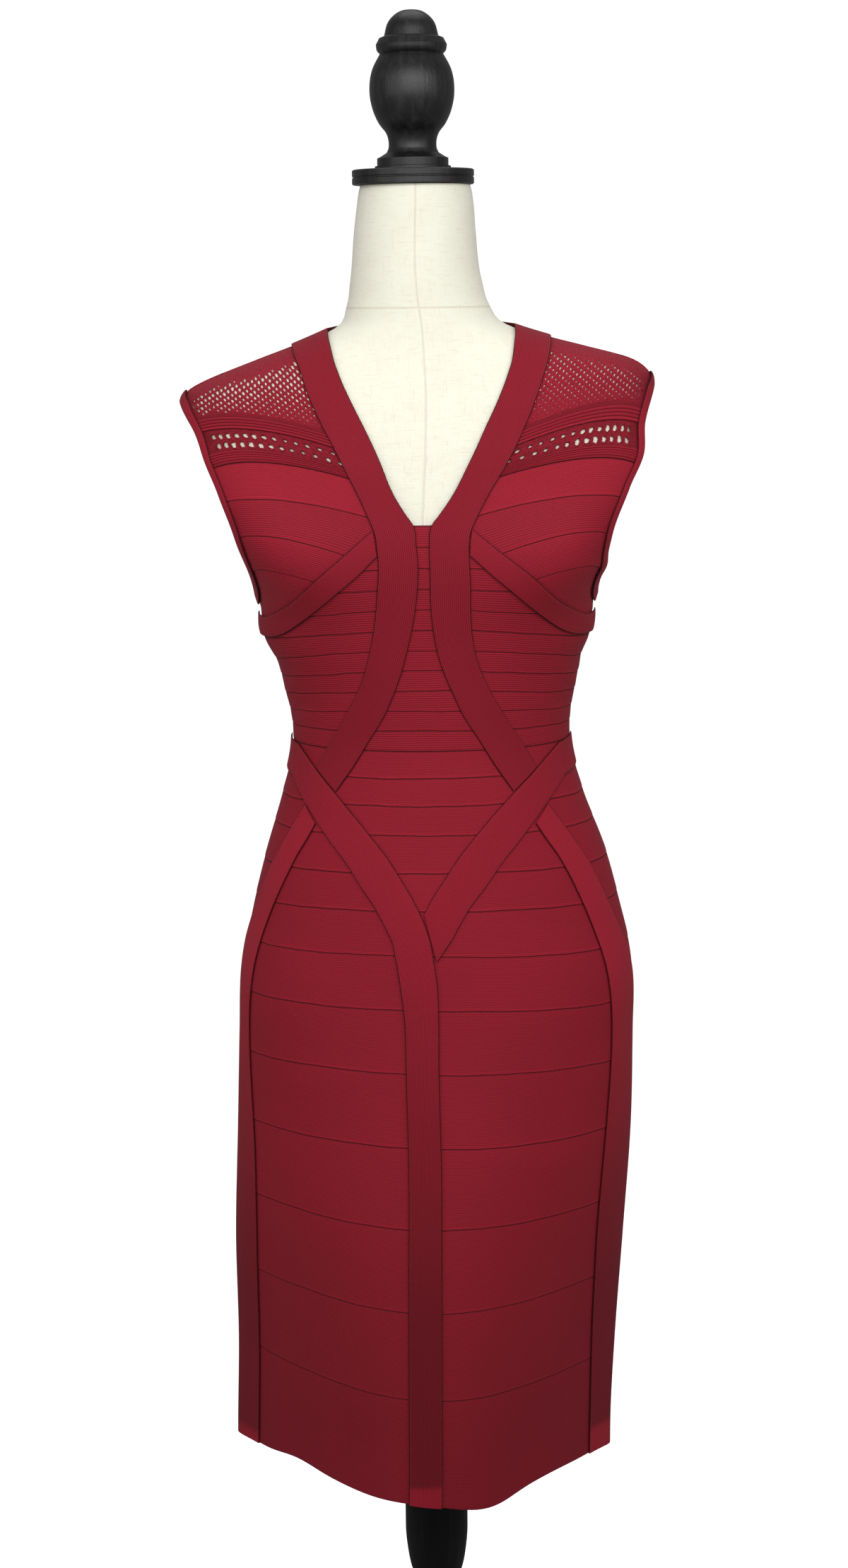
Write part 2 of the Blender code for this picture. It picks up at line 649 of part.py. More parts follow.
def make_back():
    skirt = strip_heights(HEM_HEIGHT, SKIRT_STRIPS)
    widths = []
    for width, count in BACK_STRIPS:
        widths += [width] * count
    bodice = strip_heights(WAIST_HEIGHT + GAP, widths)
    bodice_rows = strip_rows(bodice, back_turns)
    shoulder = ridge_height(NECK_OUTER_X - SEAM_ALLOWANCE)
    centre = BACK_NECK_OUTER + SEAM_ALLOWANCE

    for height in BACK_SHOULDER_ROWS:
        start = 180.0 - side_turn(height)
        points = spread_line(start, bodice_rows[-1][0][-1][0], BACK_COLUMNS, lambda turn, h=height: h)
        bodice_rows.append((points, CLOTH, CLOTH))

    def top_line(turn):
        return shoulder + (centre - shoulder) * math.sin(math.radians(turn - 90)) ** 2

    start = 180.0 - side_turn(shoulder)
    end = bodice_rows[-1][0][-1][0]
    bodice_rows.append((spread_line(start, end, BACK_COLUMNS, top_line), CLOTH, CLOTH))
    for label, sign in (("left", -1), ("right", 1)):
        def turns(line, sign=sign):
            return [sign * turn for turn in back_turns(line)]

        wall("back_skirt_" + label, row_cells(strip_rows(skirt, turns)))
        wall("back_bodice_" + label, row_cells(mirrored(bodice_rows, sign)))


def mirrored(rows, sign):
    return [([(sign * p[0], p[1]) for p in points], below, above)
            for points, below, above in rows]


# --- Bust and shoulders --------------------------------------------------------------
def bust_line(heights, start_x=None, count=BUST_COLUMNS):
    """A line from under the neck or under-bust band to under the armhole band."""
    if start_x is None:
        start_x = neck_outer_x(heights[0]) - SEAM_ALLOWANCE
    start = turn_at(start_x, heights[0])
    end = 90.0 - armhole_turn(heights[2], ARMHOLE_BAND / 3)
    end = min(end, side_turn(heights[2]))
    points = []
    for i in range(count + 1):
        t = i / count
        points.append((start + (end - start) * t, three_point(heights, t)))
    return points


def shifted(points, rise):
    return [(turn, height + rise) for turn, height in points]


def bust_rows():
    """The slanting strips of a bust panel, with a row in the middle of each."""
    lines = (
        (bust_line(BUST_FLOOR[1:], BUST_FLOOR[0]), False),
        (bust_line(BUST_SEAM_3[1:], BUST_SEAM_3[0]), True),
        (bust_line(BUST_SEAM_2[1:], BUST_SEAM_2[0]), True),
        (bust_line(BUST_MIDDLE[1:], BUST_MIDDLE[0]), False),
        (bust_line(BUST_SEAM_1), True),
        (shifted(bust_line(RIBS_BOTTOM), -GAP), True),
    )
    half_lap = CLOTH + LAP / 2
    rows = []
    for points, is_seam in lines:
        if rows:
            last = rows[-1][0]
            between = [((a + c) / 2, (b + d) / 2) for (a, b), (c, d) in zip(last, points)]
            rows.append((between, half_lap, half_lap))
        if is_seam:
            rows.append((points, CLOTH, CLOTH + LAP))
        else:
            thick = half_lap if rows else CLOTH
            rows.append((points, thick, thick))
    return rows


def rib_cells(lower, upper):
    """Thick cords that run along a band between two lines."""
    low = bust_line(lower)
    high = shifted(bust_line(upper), -GAP)
    cells = []
    steps = 2 * CORDS
    last = BUST_COLUMNS

    def corner(i, j):
        share = i / steps
        turn = low[j][0] + (high[j][0] - low[j][0]) * share
        height = low[j][1] + (high[j][1] - low[j][1]) * share
        raised = i % 2 == 1 and 0 < j < last
        return (turn, height, CLOTH + (RIB_RISE if raised else 0.0))

    for i in range(steps):
        for j in range(last):
            cells.append((corner(i, j), corner(i, j + 1), corner(i + 1, j + 1), corner(i + 1, j)))
    return cells


def openwork_cells():
    """The band with two staggered rows of holes, parted into triangles round them."""
    low = bust_line(HOLES_BOTTOM, count=OPENWORK_COLUMNS)
    high = shifted(bust_line(HOLES_TOP, count=OPENWORK_COLUMNS), -GAP)
    points, edges, holes = [], [], []

    def loop(ring):
        first = len(points)
        points.extend(Vector(p) for p in ring)
        edges.extend((first + i, first + (i + 1) % len(ring)) for i in range(len(ring)))

    count = BUST_COLUMNS
    border = [(i / count, 0.0) for i in range(count)] + [(1.0, 0.0)]
    border += [(1 - i / count, 1.0) for i in range(count)] + [(0.0, 1.0)]
    loop(border)
    pitch = 1.0 / (HOLES_IN_ROW + 1.0)
    for row, across in enumerate(HOLE_ROWS):
        for i in range(HOLES_IN_ROW):
            along = pitch * (i + FIRST_HOLE + 0.5 * row)
            ring = []
            for k in range(HOLE_SIDES):
                angle = math.radians(90 + 360 * k / HOLE_SIDES)
                ring.append((along + HOLE_ALONG * pitch * HOLE_STRETCH * math.cos(angle),
                             across + HOLE_ACROSS * math.sin(angle)))
            holes.append((along, across))
            loop(ring)
    result = delaunay_2d_cdt(points, edges, [], 1, 1e-6)
    vertices, faces = result[0], result[2]
    cells = []
    for face in faces:
        middle = sum((vertices[i] for i in face), Vector((0.0, 0.0))) / len(face)
        in_hole = any(abs(middle.x - x) < HOLE_ALONG * pitch * 0.75
                      and abs(middle.y - y) < HOLE_ACROSS * 0.75 for x, y in holes)
        if not in_hole:
            cells.append([vertices[i] for i in face])

    def place(p):
        along = min(max(p.x, 0.0), 1.0) * OPENWORK_COLUMNS
        j = min(int(along), OPENWORK_COLUMNS - 1)
        part = along - j
        bottom = [low[j][k] + (low[j + 1][k] - low[j][k]) * part for k in (0, 1)]
        top = [high[j][k] + (high[j + 1][k] - high[j][k]) * part for k in (0, 1)]
        turn = bottom[0] + (top[0] - bottom[0]) * p.y
        return (turn, bottom[1] + (top[1] - bottom[1]) * p.y, CLOTH + LAP)

    return [tuple(place(p) for p in cell) for cell in cells]


def yoke_cells():
    """The net yoke, stretched between rib band, neck band, armhole and shoulder seam."""
    count = BUST_COLUMNS + 1
    bottom = bust_line(NET_BOTTOM, count=count)
    ridge_inner = ridge_height(NECK_OUTER_X - SEAM_ALLOWANCE)
    tip = ARMHOLE_HEIGHT + ARMHOLE_RISE + ARMHOLE_BAND / 3
    left, right, top = [], [], []
    shares = [1 - (1 - i / count) ** RIDGE_POWER for i in range(count + 1)]
    for t in shares:
        height = bottom[0][1] + (ridge_inner - bottom[0][1]) * t
        left.append((turn_at(neck_outer_x(height) - SEAM_ALLOWANCE, height), height))
        angle = math.asin((bottom[-1][1] - ARMHOLE_HEIGHT) / (ARMHOLE_RISE + ARMHOLE_BAND / 3))
        angle += (math.pi / 2 - angle) * t
        height = ARMHOLE_HEIGHT + (ARMHOLE_RISE + ARMHOLE_BAND / 3) * math.sin(angle)
        height = min(height, tip - 1e-5)
        turn = 90.0 - armhole_turn(height, ARMHOLE_BAND / 3)
        right.append((min(turn, side_turn(height)), height))
    for i in range(count + 1):
        height = ridge_inner + (tip - ridge_inner) * i / count
        top.append((side_turn(height), height))
    left[-1] = top[0]
    right[-1] = top[-1]
    right[0] = bottom[-1]
    left[0] = bottom[0]
    grid = []
    for i, v in enumerate(shares):
        row = []
        for j in range(count + 1):
            u = j / count
            values = []
            for k in (0, 1):
                value = (1 - v) * bottom[j][k] + v * top[j][k] + (1 - u) * left[i][k] + u * right[i][k]
                value -= (1 - u) * (1 - v) * bottom[0][k] + u * (1 - v) * bottom[-1][k]
                value -= (1 - u) * v * top[0][k] + u * v * top[-1][k]
                values.append(value)
            row.append(tuple(values))
        grid.append((row, CLOTH, CLOTH))
    return row_cells(grid)


def mirror_cells(cells, sign):
    return [tuple((sign * c[0],) + tuple(c[1:]) for c in cell) for cell in cells]


def make_shoulders():
    pieces = (
        ("bust_panel_", row_cells(bust_rows())),
        ("rib_band_lower_", rib_cells(RIBS_BOTTOM, HOLES_BOTTOM)),
        ("openwork_", openwork_cells()),
        ("rib_band_upper_", rib_cells(HOLES_TOP, NET_BOTTOM)),
        ("yoke_", yoke_cells()),
    )
    for name, cells in pieces:
        for label, sign in (("left", -1), ("right", 1)):
            wall(name + label, mirror_cells(cells, sign))


# --- Bands over the panels -----------------------------------------------------------
def band_cells(edges, out, across=2):
    """Cells of a band from rows of (turn a, height a, turn b, height b)."""
    rows = []
    for k in range(across + 1):
        share = k / across
        points = [(a + (c - a) * share, b + (d - b) * share) for a, b, c, d in edges]
        rows.append((points, out, out))
    return row_cells(rows)


def square_on(rows, sign=1):
    """Rows of (x, height) pairs turned into rows of (turn, height) pairs."""
    return [(sign * turn_at(a, b), b, sign * turn_at(c, d), d) for a, b, c, d in rows]


def make_neck_bands():
    fine = curve_through(NECK_BAND, 55)
    body = fine[:5] + fine[6::2]
    inner, outer = ridge_height(NECK_INNER_X), ridge_height(NECK_OUTER_X)
    for label, sign in (("left", -1), ("right", 1)):
        edges = [(sign * side_turn(inner), inner, sign * side_turn(outer), outer)]
        seam = (NECK_INNER_X, inner, NECK_OUTER_X, outer)
        for share in (0.33, 0.66):
            powers = (share, share * share, share, share * share)
            row = tuple(a + (b - a) * t for a, b, t in zip(seam, body[0], powers))
            edges += square_on([row], sign)
        edges += square_on(body, sign)
        wall("neck_band_" + label, band_cells(edges, BAND_OUT), BAND_IN, WINE_BAND)
    edges = []
    start = 180.0 - side_turn(inner)
    count = 16
    for i in range(count + 1):
        turn = start + (360.0 - 2 * start) * i / count
        share = math.sin(math.radians(turn - 90)) ** 2
        edges.append((turn, inner + (BACK_NECK_INNER - inner) * share,
                      turn, outer + (BACK_NECK_OUTER - outer) * share))
    wall("neck_band_back", band_cells(edges, BAND_OUT), BAND_IN, WINE_BAND)


def make_underbust_bands():
    body = curve_through(UNDERBUST_BAND, 10)
    top, bottom = UNDERBUST_SIDE
    for label, sign in (("left", -1), ("right", 1)):
        edges = square_on(body, sign)
        a, c = edges[-1][0], edges[-1][2]
        ends = (sign * side_turn(top), sign * side_turn(bottom))
        last = edges[-1]
        for share in (1 / 3, 2 / 3, 1.0):
            edges.append((a + (ends[0] - a) * share, last[1] + (top - last[1]) * share,
                          c + (ends[1] - c) * share, last[3] + (bottom - last[3]) * share))
        wall("underbust_band_" + label, band_cells(edges, UNDERBUST_OUT), UNDERBUST_IN, WINE_BAND)


def make_hip_bands():
    top, bottom = HIP_SIDE
    plans = (
        ("hip_band_long", -1, HIP_BAND + LONG_BAND_TAIL, 40, TOP_BAND_IN, TOP_BAND_OUT),
        ("hip_band_short", 1, HIP_BAND + SHORT_BAND_END, 22, BAND_IN, BAND_OUT),
    )
    for name, sign, rows, count, inside, out in plans:
        edges = square_on(curve_through(rows, count), sign)
        edges = [(a, askew(a, b), c, askew(c, d)) for a, b, c, d in edges]
        first = edges[0]
        ends = (sign * side_turn(top), sign * side_turn(bottom))
        for share in (0.5, 1.0):
            edges.insert(0, (first[0] + (ends[0] - first[0]) * share,
                             first[1] + (top - first[1]) * share,
                             first[2] + (ends[1] - first[2]) * share,
                             first[3] + (bottom - first[3]) * share))
        wall(name, band_cells(edges, out), inside, WINE_BAND)


def make_side_bands():
    keyed = [(index,) + row for index, row in enumerate(SIDE_BAND)]
    count = 22
    body = [blend_rows(keyed, (len(SIDE_BAND) - 1) * i / count) for i in range(count + 1)]
    for label, sign in (("left", -1), ("right", 1)):
        edges = []
        for a, b, c, d in body:
            a, c = sign * a, sign * min(c, side_turn(d))
            edges.append((a, askew(a, b), c, askew(c, d)))
        wall("side_band_" + label, band_cells(edges, BAND_OUT, 3), BAND_IN, WINE_BAND)


def make_armhole_bands():
    count = 28
    for label, sign in (("left", -1), ("right", 1)):
        rows = []
        for spread in (0.0, ARMHOLE_BAND / 2, ARMHOLE_BAND):
            points = []
            for i in range(count + 1):
                angle = 2 * math.pi * (i % count) / count
                rise = ARMHOLE_RISE + spread
                height = ARMHOLE_HEIGHT + rise * math.cos(angle)
                half = ARMHOLE_TURN + math.degrees(spread / side_width(height))
                points.append((sign * (90.0 - half * math.sin(angle)), height))
            rows.append((points, ARMHOLE_BAND_OUT, ARMHOLE_BAND_OUT))
        wall("armhole_band_" + label, row_cells(rows), ARMHOLE_BAND_IN, WINE_BAND)


# --- Form and stand ------------------------------------------------------------------
def form_point(turn, height):
    """The form follows the figure, with flat arm plates and a rounded lower edge."""
    p = skin(turn, height, folds=False)
    ahead = skin(turn + 0.5, height, folds=False) - skin(turn - 0.5, height, folds=False)
    up = skin(turn, height + 0.0015, folds=False) - skin(turn, height - 0.0015, folds=False)
    p -= ahead.cross(up).normalized() * blend_rows(FORM_EASE, height)[0]
    half = armhole_turn(height)
    lean = blend_rows(SHOULDER_LEAN, height)[0] * math.cos(math.radians(half)) ** 2
    shift = blend_rows(LEVELS, height)[1] + lean
    if half > 0:
        limit = abs(skin(90.0 - half, height).x - shift) - FORM_CAP_EASE - FORM_CAP_ROUND
        reach = abs(p.x - shift) - limit
        if reach > 0:
            held = limit + FORM_CAP_ROUND * (1 - math.exp(-reach / FORM_CAP_ROUND))
            p.x = shift + math.copysign(held, p.x - shift)
    if height < 0.80:
        p.z = height
        fall = (0.80 - height) / (0.80 - FORM_BOTTOM)
        shrink = 1 - 0.05 * fall * fall - 0.10 * max(0.0, fall - 0.84) ** 2 / 0.16 ** 2
        p.x = shift + (p.x - shift) * shrink
        p.y *= shrink
    return p


def make_form():
    heights = [FORM_BOTTOM, FORM_BOTTOM + 0.004, FORM_BOTTOM + 0.012, FORM_BOTTOM + 0.030]
    heights += [0.7715, 0.8235, 0.8675, 0.9035, 0.9337, 0.9637, 0.9872, 1.0092, 1.0312]
    heights += [1.052, 1.076, 1.102, 1.128, 1.152, 1.178, 1.206, 1.236, 1.265]
    heights += [1.288, 1.306, 1.319, 1.331, 1.342, 1.353, 1.365, 1.382, 1.410, 1.442, 1.465, FORM_TOP]
    shell = bmesh.new()
    rings = []
    for height in heights:
        ring = []
        for k in range(FORM_COLUMNS):
            ring.append(shell.verts.new(form_point(360.0 * k / FORM_COLUMNS, height)))
        rings.append(ring)
    for lower, upper in zip(rings, rings[1:]):
        for k in range(FORM_COLUMNS):
            following = (k + 1) % FORM_COLUMNS
            shell.faces.new((lower[k], lower[following], upper[following], upper[k]))
    shell.faces.new(list(reversed(rings[0])))
    shell.faces.new(rings[-1])
    bmesh.ops.recalc_face_normals(shell, faces=shell.faces)
    mesh = bpy.data.meshes.new("form_body")
    shell.to_mesh(mesh)
    shell.free()
    mesh.shade_smooth()
    mesh.set_sharp_from_angle(angle=math.radians(50))
    finish("form_body", mesh, LINEN, 0.9)


def make_stand():
    turned("finial", FINIAL, FINIAL_X, BLACK_PAINT, 0.45)
    turned("neck_plate", NECK_PLATE, FINIAL_X, BLACK_PAINT, 0.45)
    turned("stand_stem", STEM, STAND_X, BLACK_PAINT, 0.5)
    pole = ((0.0, POLE_TOP), (POLE_RADIUS, POLE_TOP), (POLE_RADIUS, BASE_TOP + GAP), (0.0, BASE_TOP + GAP))
    turned("stand_pole", pole, STAND_X, BLACK_PAINT, 0.5, 20)
    turned("stand_base", BASE, STAND_X, BLACK_PAINT, 0.5, 26)


for existing in list(bpy.data.objects):
    bpy.data.objects.remove(existing, do_unlink=True)
PARTS = collection_named(COLLECTION)
make_stand()
make_form()
make_front()
make_back()
make_shoulders()
make_neck_bands()
make_underbust_bands()
make_hip_bands()
make_side_bands()
make_armhole_bands()
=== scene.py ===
import math

import bmesh
import bpy
import numpy as np
from mathutils import Matrix, Vector
from mathutils.geometry import delaunay_2d_cdt


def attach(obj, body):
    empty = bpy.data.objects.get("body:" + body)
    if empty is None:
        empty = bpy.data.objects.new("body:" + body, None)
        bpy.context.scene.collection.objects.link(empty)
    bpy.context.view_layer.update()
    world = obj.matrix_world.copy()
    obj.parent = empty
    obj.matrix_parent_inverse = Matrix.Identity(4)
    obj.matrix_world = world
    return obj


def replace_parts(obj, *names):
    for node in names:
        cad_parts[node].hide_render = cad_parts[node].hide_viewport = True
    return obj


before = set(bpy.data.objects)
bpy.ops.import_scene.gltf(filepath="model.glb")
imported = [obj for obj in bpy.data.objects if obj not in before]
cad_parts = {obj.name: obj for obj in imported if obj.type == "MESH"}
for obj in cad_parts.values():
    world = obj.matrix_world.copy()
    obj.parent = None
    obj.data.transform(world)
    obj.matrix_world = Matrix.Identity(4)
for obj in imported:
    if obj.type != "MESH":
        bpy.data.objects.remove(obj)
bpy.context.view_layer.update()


# --- Studio ---------------------------------------------------------------------------
# White paper lies under the stand and hangs behind it. Two large softboxes stand in
# front and one hangs overhead. The camera is at neck height and looks down a little.
CAMERA_AWAY = 2.2
CAMERA_HEIGHT = 1.40
CAMERA_TILT = math.radians(10.6)
CAMERA_ROLL = math.radians(-0.72)
CAMERA_LENS = 61.73       # mm, for a frame 36 mm wide
PAPER_HALF = 9.0
PAPER_BACK = 6.5
PAPER_BEND = 1.2          # radius of the bend between its floor and its wall
PAPER_TOP = 5.0
AMBIENT = 0.26
WHITE = (1.0, 1.0, 1.0, 1.0)


def new_thing(name, data):
    """A new object in the scene."""
    thing = bpy.data.objects.new(name, data)
    bpy.context.scene.collection.objects.link(thing)
    return thing


def add(tree, kind, inputs=(), **settings):
    """A node with its settings, and its inputs linked or given a value."""
    node = tree.nodes.new(kind)
    for key, value in settings.items():
        setattr(node, key, value)
    for key, value in dict(inputs).items():
        if isinstance(value, bpy.types.NodeSocket):
            tree.links.new(value, node.inputs[key])
        else:
            node.inputs[key].default_value = value
    return node


camera = new_thing("camera", bpy.data.cameras.new("camera"))
camera.data.sensor_width = 36.0
camera.data.lens = CAMERA_LENS
camera.location = (0.0, -CAMERA_AWAY, CAMERA_HEIGHT)
aim = Matrix.Rotation(math.pi / 2 - CAMERA_TILT, 3, "X") @ Matrix.Rotation(CAMERA_ROLL, 3, "Z")
camera.rotation_euler = aim.to_euler()
bpy.context.scene.camera = camera
bpy.context.scene.view_settings.view_transform = "Standard"


def softbox(name, place, target, size, watts):
    """A rectangular lamp that faces a target and isn't itself seen."""
    light = bpy.data.lights.new(name, "AREA")
    light.shape = "RECTANGLE"
    light.size, light.size_y = size
    light.energy = watts
    lamp = new_thing(name, light)
    lamp.location = place
    lamp.visible_camera = False
    lamp.rotation_euler = (Vector(target) - Vector(place)).to_track_quat("-Z", "Y").to_euler()


softbox("softbox_front", (0.10, -1.50, 1.95), (0.0, 0.0, 1.20), (2.2, 0.9), 27.0)
softbox("softbox_left", (-1.9, -1.3, 1.9), (0.0, 0.0, 1.15), (1.0, 1.4), 9.0)
softbox("softbox_right", (1.9, -1.3, 1.9), (0.0, 0.0, 1.15), (1.0, 1.4), 7.0)
softbox("softbox_top", (0.0, 0.5, 3.4), (0.0, 0.0, 1.2), (1.8, 1.8), 16.0)

# the room is dim, and its white walls are seen only as the background
world = bpy.data.worlds.new("studio")
world.use_nodes = True
room = world.node_tree
seen = add(room, "ShaderNodeLightPath").outputs["Is Camera Ray"]
level = add(room, "ShaderNodeMapRange", {"Value": seen, "To Min": AMBIENT, "To Max": 1.0})
room.links.new(level.outputs["Result"], room.nodes["Background"].inputs["Strength"])
room.nodes["Background"].inputs["Color"].default_value = WHITE
bpy.context.scene.world = world

paper = bpy.data.meshes.new("paper")
outline = [(-PAPER_HALF, 0.0), (PAPER_BACK - PAPER_BEND, 0.0)]
outline += [(PAPER_BACK - PAPER_BEND + PAPER_BEND * math.sin(a), PAPER_BEND - PAPER_BEND * math.cos(a))
            for a in (math.radians(9 * i) for i in range(1, 11))]
outline += [(PAPER_BACK, PAPER_TOP)]
corners = [(x, y, z) for y, z in outline for x in (-PAPER_HALF, PAPER_HALF)]
sides = [(2 * i, 2 * i + 1, 2 * i + 3, 2 * i + 2) for i in range(len(outline) - 1)]
paper.from_pydata(corners, [], sides)
paper.shade_smooth()
white = bpy.data.materials.new("white_paper")
white.use_nodes = True
shader = white.node_tree.nodes["Principled BSDF"]
shader.inputs["Base Color"].default_value = (0.92, 0.92, 0.92, 1.0)
shader.inputs["Roughness"].default_value = 0.9
shader.inputs["Emission Color"].default_value = WHITE
shader.inputs["Emission Strength"].default_value = 0.75
paper.materials.append(white)
floor = new_thing("paper", paper)
floor.visible_diffuse = False
floor.visible_glossy = False


# --- Form body ------------------------------------------------------------------------
# A padded torso form, one size small, without limbs. It is covered in natural linen,
# sewn with a seam at centre front and one round the base of the neck, and has flat
# linen-covered plates where the arms would be.

# height, half width, shift in x, depth in front, depth behind, squareness, twist (deg)
LEVELS = (
    (0.400, 0.1592, -0.0072, 0.1345, 0.1130, -0.25, 0.0),
    (0.430, 0.1590, -0.0066, 0.1340, 0.1130, -0.24, 0.0),
    (0.500, 0.1595, -0.0036, 0.1325, 0.1120, -0.21, -1.0),
    (0.600, 0.1630, 0.0000, 0.1275, 0.1100, -0.15, -2.0),
    (0.700, 0.1642, 0.0055, 0.1195, 0.1100, -0.08, -3.5),
    (0.780, 0.1632, 0.0078, 0.1130, 0.1120, -0.03, -4.6),
    (0.836, 0.1619, 0.0094, 0.1090, 0.1140, 0.00, -5.0),
    (0.885, 0.1524, 0.0092, 0.1045, 0.1100, 0.00, -4.8),
    (0.934, 0.1399, 0.0090, 0.0985, 0.0990, 0.00, -4.4),
    (0.982, 0.1238, 0.0072, 0.0920, 0.0840, 0.00, -4.0),
    (1.030, 0.1129, 0.0068, 0.0870, 0.0740, 0.00, -3.4),
    (1.077, 0.1194, 0.0058, 0.0910, 0.0790, 0.00, -2.6),
    (1.112, 0.1316, 0.0041, 0.0960, 0.0870, 0.01, -1.8),
    (1.145, 0.1358, 0.0040, 0.1010, 0.0930, 0.02, -1.2),
    (1.172, 0.1473, 0.0044, 0.1035, 0.0970, 0.03, -0.8),
    (1.205, 0.1652, 0.0026, 0.1030, 0.0990, 0.04, -0.4),
    (1.238, 0.1878, 0.0025, 0.0985, 0.0990, 0.05, 0.0),
    (1.263, 0.1982, 0.0024, 0.0925, 0.0960, 0.05, 0.4),
    (1.286, 0.1948, 0.0024, 0.0845, 0.0900, 0.04, 0.6),
    (1.309, 0.1896, 0.0023, 0.0750, 0.0820, 0.03, 0.8),
    (1.320, 0.1848, 0.0023, 0.0700, 0.0770, 0.02, 0.8),
    (1.331, 0.1655, 0.0022, 0.0650, 0.0720, 0.01, 0.8),
    (1.342, 0.1322, 0.0022, 0.0605, 0.0670, 0.00, 0.8),
    (1.353, 0.0975, 0.0022, 0.0570, 0.0630, 0.00, 0.8),
    (1.365, 0.0680, 0.0020, 0.0545, 0.0600, 0.00, 0.6),
    (1.380, 0.0580, 0.0000, 0.0520, 0.0570, 0.00, 0.3),
    (1.400, 0.0530, -0.0014, 0.0505, 0.0540, 0.00, 0.0),
    (1.440, 0.0487, -0.0018, 0.0478, 0.0498, 0.00, 0.0),
    (1.460, 0.0467, -0.0012, 0.0462, 0.0478, 0.00, 0.0),
    (1.470, 0.0453, -0.0011, 0.0450, 0.0464, 0.00, 0.0),
    (1.480, 0.0425, -0.0010, 0.0425, 0.0435, 0.00, 0.0),
)
# the right shoulder is a little higher: height, rise for each distance from the middle
SHOULDER_TILT = ((1.27, 0.0), (1.34, 0.030), (1.375, 0.0))
# both shoulders lean to one side: height, shift in x at the sides
SHOULDER_LEAN = ((1.240, 0.0), (1.263, 0.0), (1.286, -0.0042), (1.309, -0.0043), (1.320, -0.0026),
                 (1.331, 0.0008), (1.342, 0.0), (1.353, 0.0))
SIDEWAYS = 0.55           # share of a swelling's rise that goes sideways at the sides
SLOPE_TURN = 0.5          # half the steps over which the surface's slope is measured
SLOPE_HEIGHT = 0.0015
# turn, height, half turn, half height, rise, slant (height per degree)
MOUNDS = (
    (-40.0, 1.192, 24.0, 0.046, 0.0275, 0.0),    # bust
    (40.0, 1.192, 24.0, 0.046, 0.0275, 0.0),
    (-150.0, 1.235, 26.0, 0.060, 0.0060, 0.0),   # shoulder blades
    (150.0, 1.235, 26.0, 0.060, 0.0060, 0.0),
    (-152.0, 0.835, 24.0, 0.060, 0.0080, 0.0),   # seat
    (152.0, 0.835, 24.0, 0.060, 0.0080, 0.0),
    (-88.0, 1.096, 24.0, 0.014, -0.0040, 0.0),   # the waist's hollows under the arms
    (88.0, 1.099, 24.0, 0.010, -0.0024, 0.0),
)
# how far the form lies inside the dress's surface: height, distance
FORM_EASE = ((0.70, 0.0024), (1.00, 0.0020), (1.10, 0.0020), (1.20, 0.0022),
             (1.26, 0.0014), (1.285, 0.0005), (1.345, 0.0004), (1.368, 0.0003), (1.40, 0.0000))
FORM_BOTTOM = 0.7000
FORM_TOP = 1.4752
FORM_CAP_EASE = 0.0040    # the arm plates lie this far inside the armholes' edge
FORM_CAP_ROUND = 0.0140
FORM_ROWS = 190
FORM_COLUMNS = 144
FOOT_ROWS = (0.0, 0.0010, 0.0025)  # close rows over the turned-in bottom edge
FOOT_HEIGHT = 0.80        # the form draws in below this height
FOOT_IN = 0.05            # by this share, and by FOOT_EDGE_IN more at its bottom edge
FOOT_EDGE_IN = 0.10
FOOT_EDGE = 0.16
ARMHOLE_HEIGHT = 1.230
ARMHOLE_RISE = 0.080
ARMHOLE_TURN = 40.0
NECK_SEAM_HEIGHT = 1.3790
WARP = 0.0011             # two threads of the linen upright, and two across
WEFT = 0.0012
LINEN_SHADE = (0.80, 0.785, 0.655, 1.0)
LINEN_LIGHT = (0.865, 0.853, 0.725, 1.0)
LINEN_SLUB = (0.58, 0.53, 0.39, 1.0)
LINEN_SEAM = (0.56, 0.42, 0.28, 1.0)


def blend(rows, key):
    """A table's rows at values of its first column, on a smooth curve."""
    table = np.array(rows, float)
    x, y = table[:, 0], table[:, 1:]
    step = np.diff(x)
    rate = np.diff(y, axis=0) / step[:, None]
    slope = np.concatenate([rate, rate[-1:]])
    slope[1:-1] = rate[:-1] * step[1:, None] + rate[1:] * step[:-1, None]
    slope[1:-1] /= (step[:-1] + step[1:])[:, None]
    key = np.clip(np.asarray(key, float), x[0], x[-1])
    i = np.clip(np.searchsorted(x, key) - 1, 0, len(x) - 2)
    t = ((key - x[i]) / step[i])[..., None]
    h = step[i][..., None]
    return (y[i] * (1 + 2 * t) * (1 - t) ** 2 + y[i + 1] * t * t * (3 - 2 * t)
            + h * slope[i] * t * (1 - t) ** 2 + h * slope[i + 1] * t * t * (t - 1))


def swell(turn, height, swellings):
    """The rise that a table of swellings gives a place."""
    total = np.zeros(np.broadcast(turn, height).shape)
    for at_turn, at_height, half_turn, half_height, rise, slant in swellings:
        away = (turn - at_turn + 180.0) % 360.0 - 180.0
        along = (height - at_height - slant * away) / half_height
        total += rise * np.exp(-np.minimum((away / half_turn) ** 2 + along ** 2, 50.0))
    return total


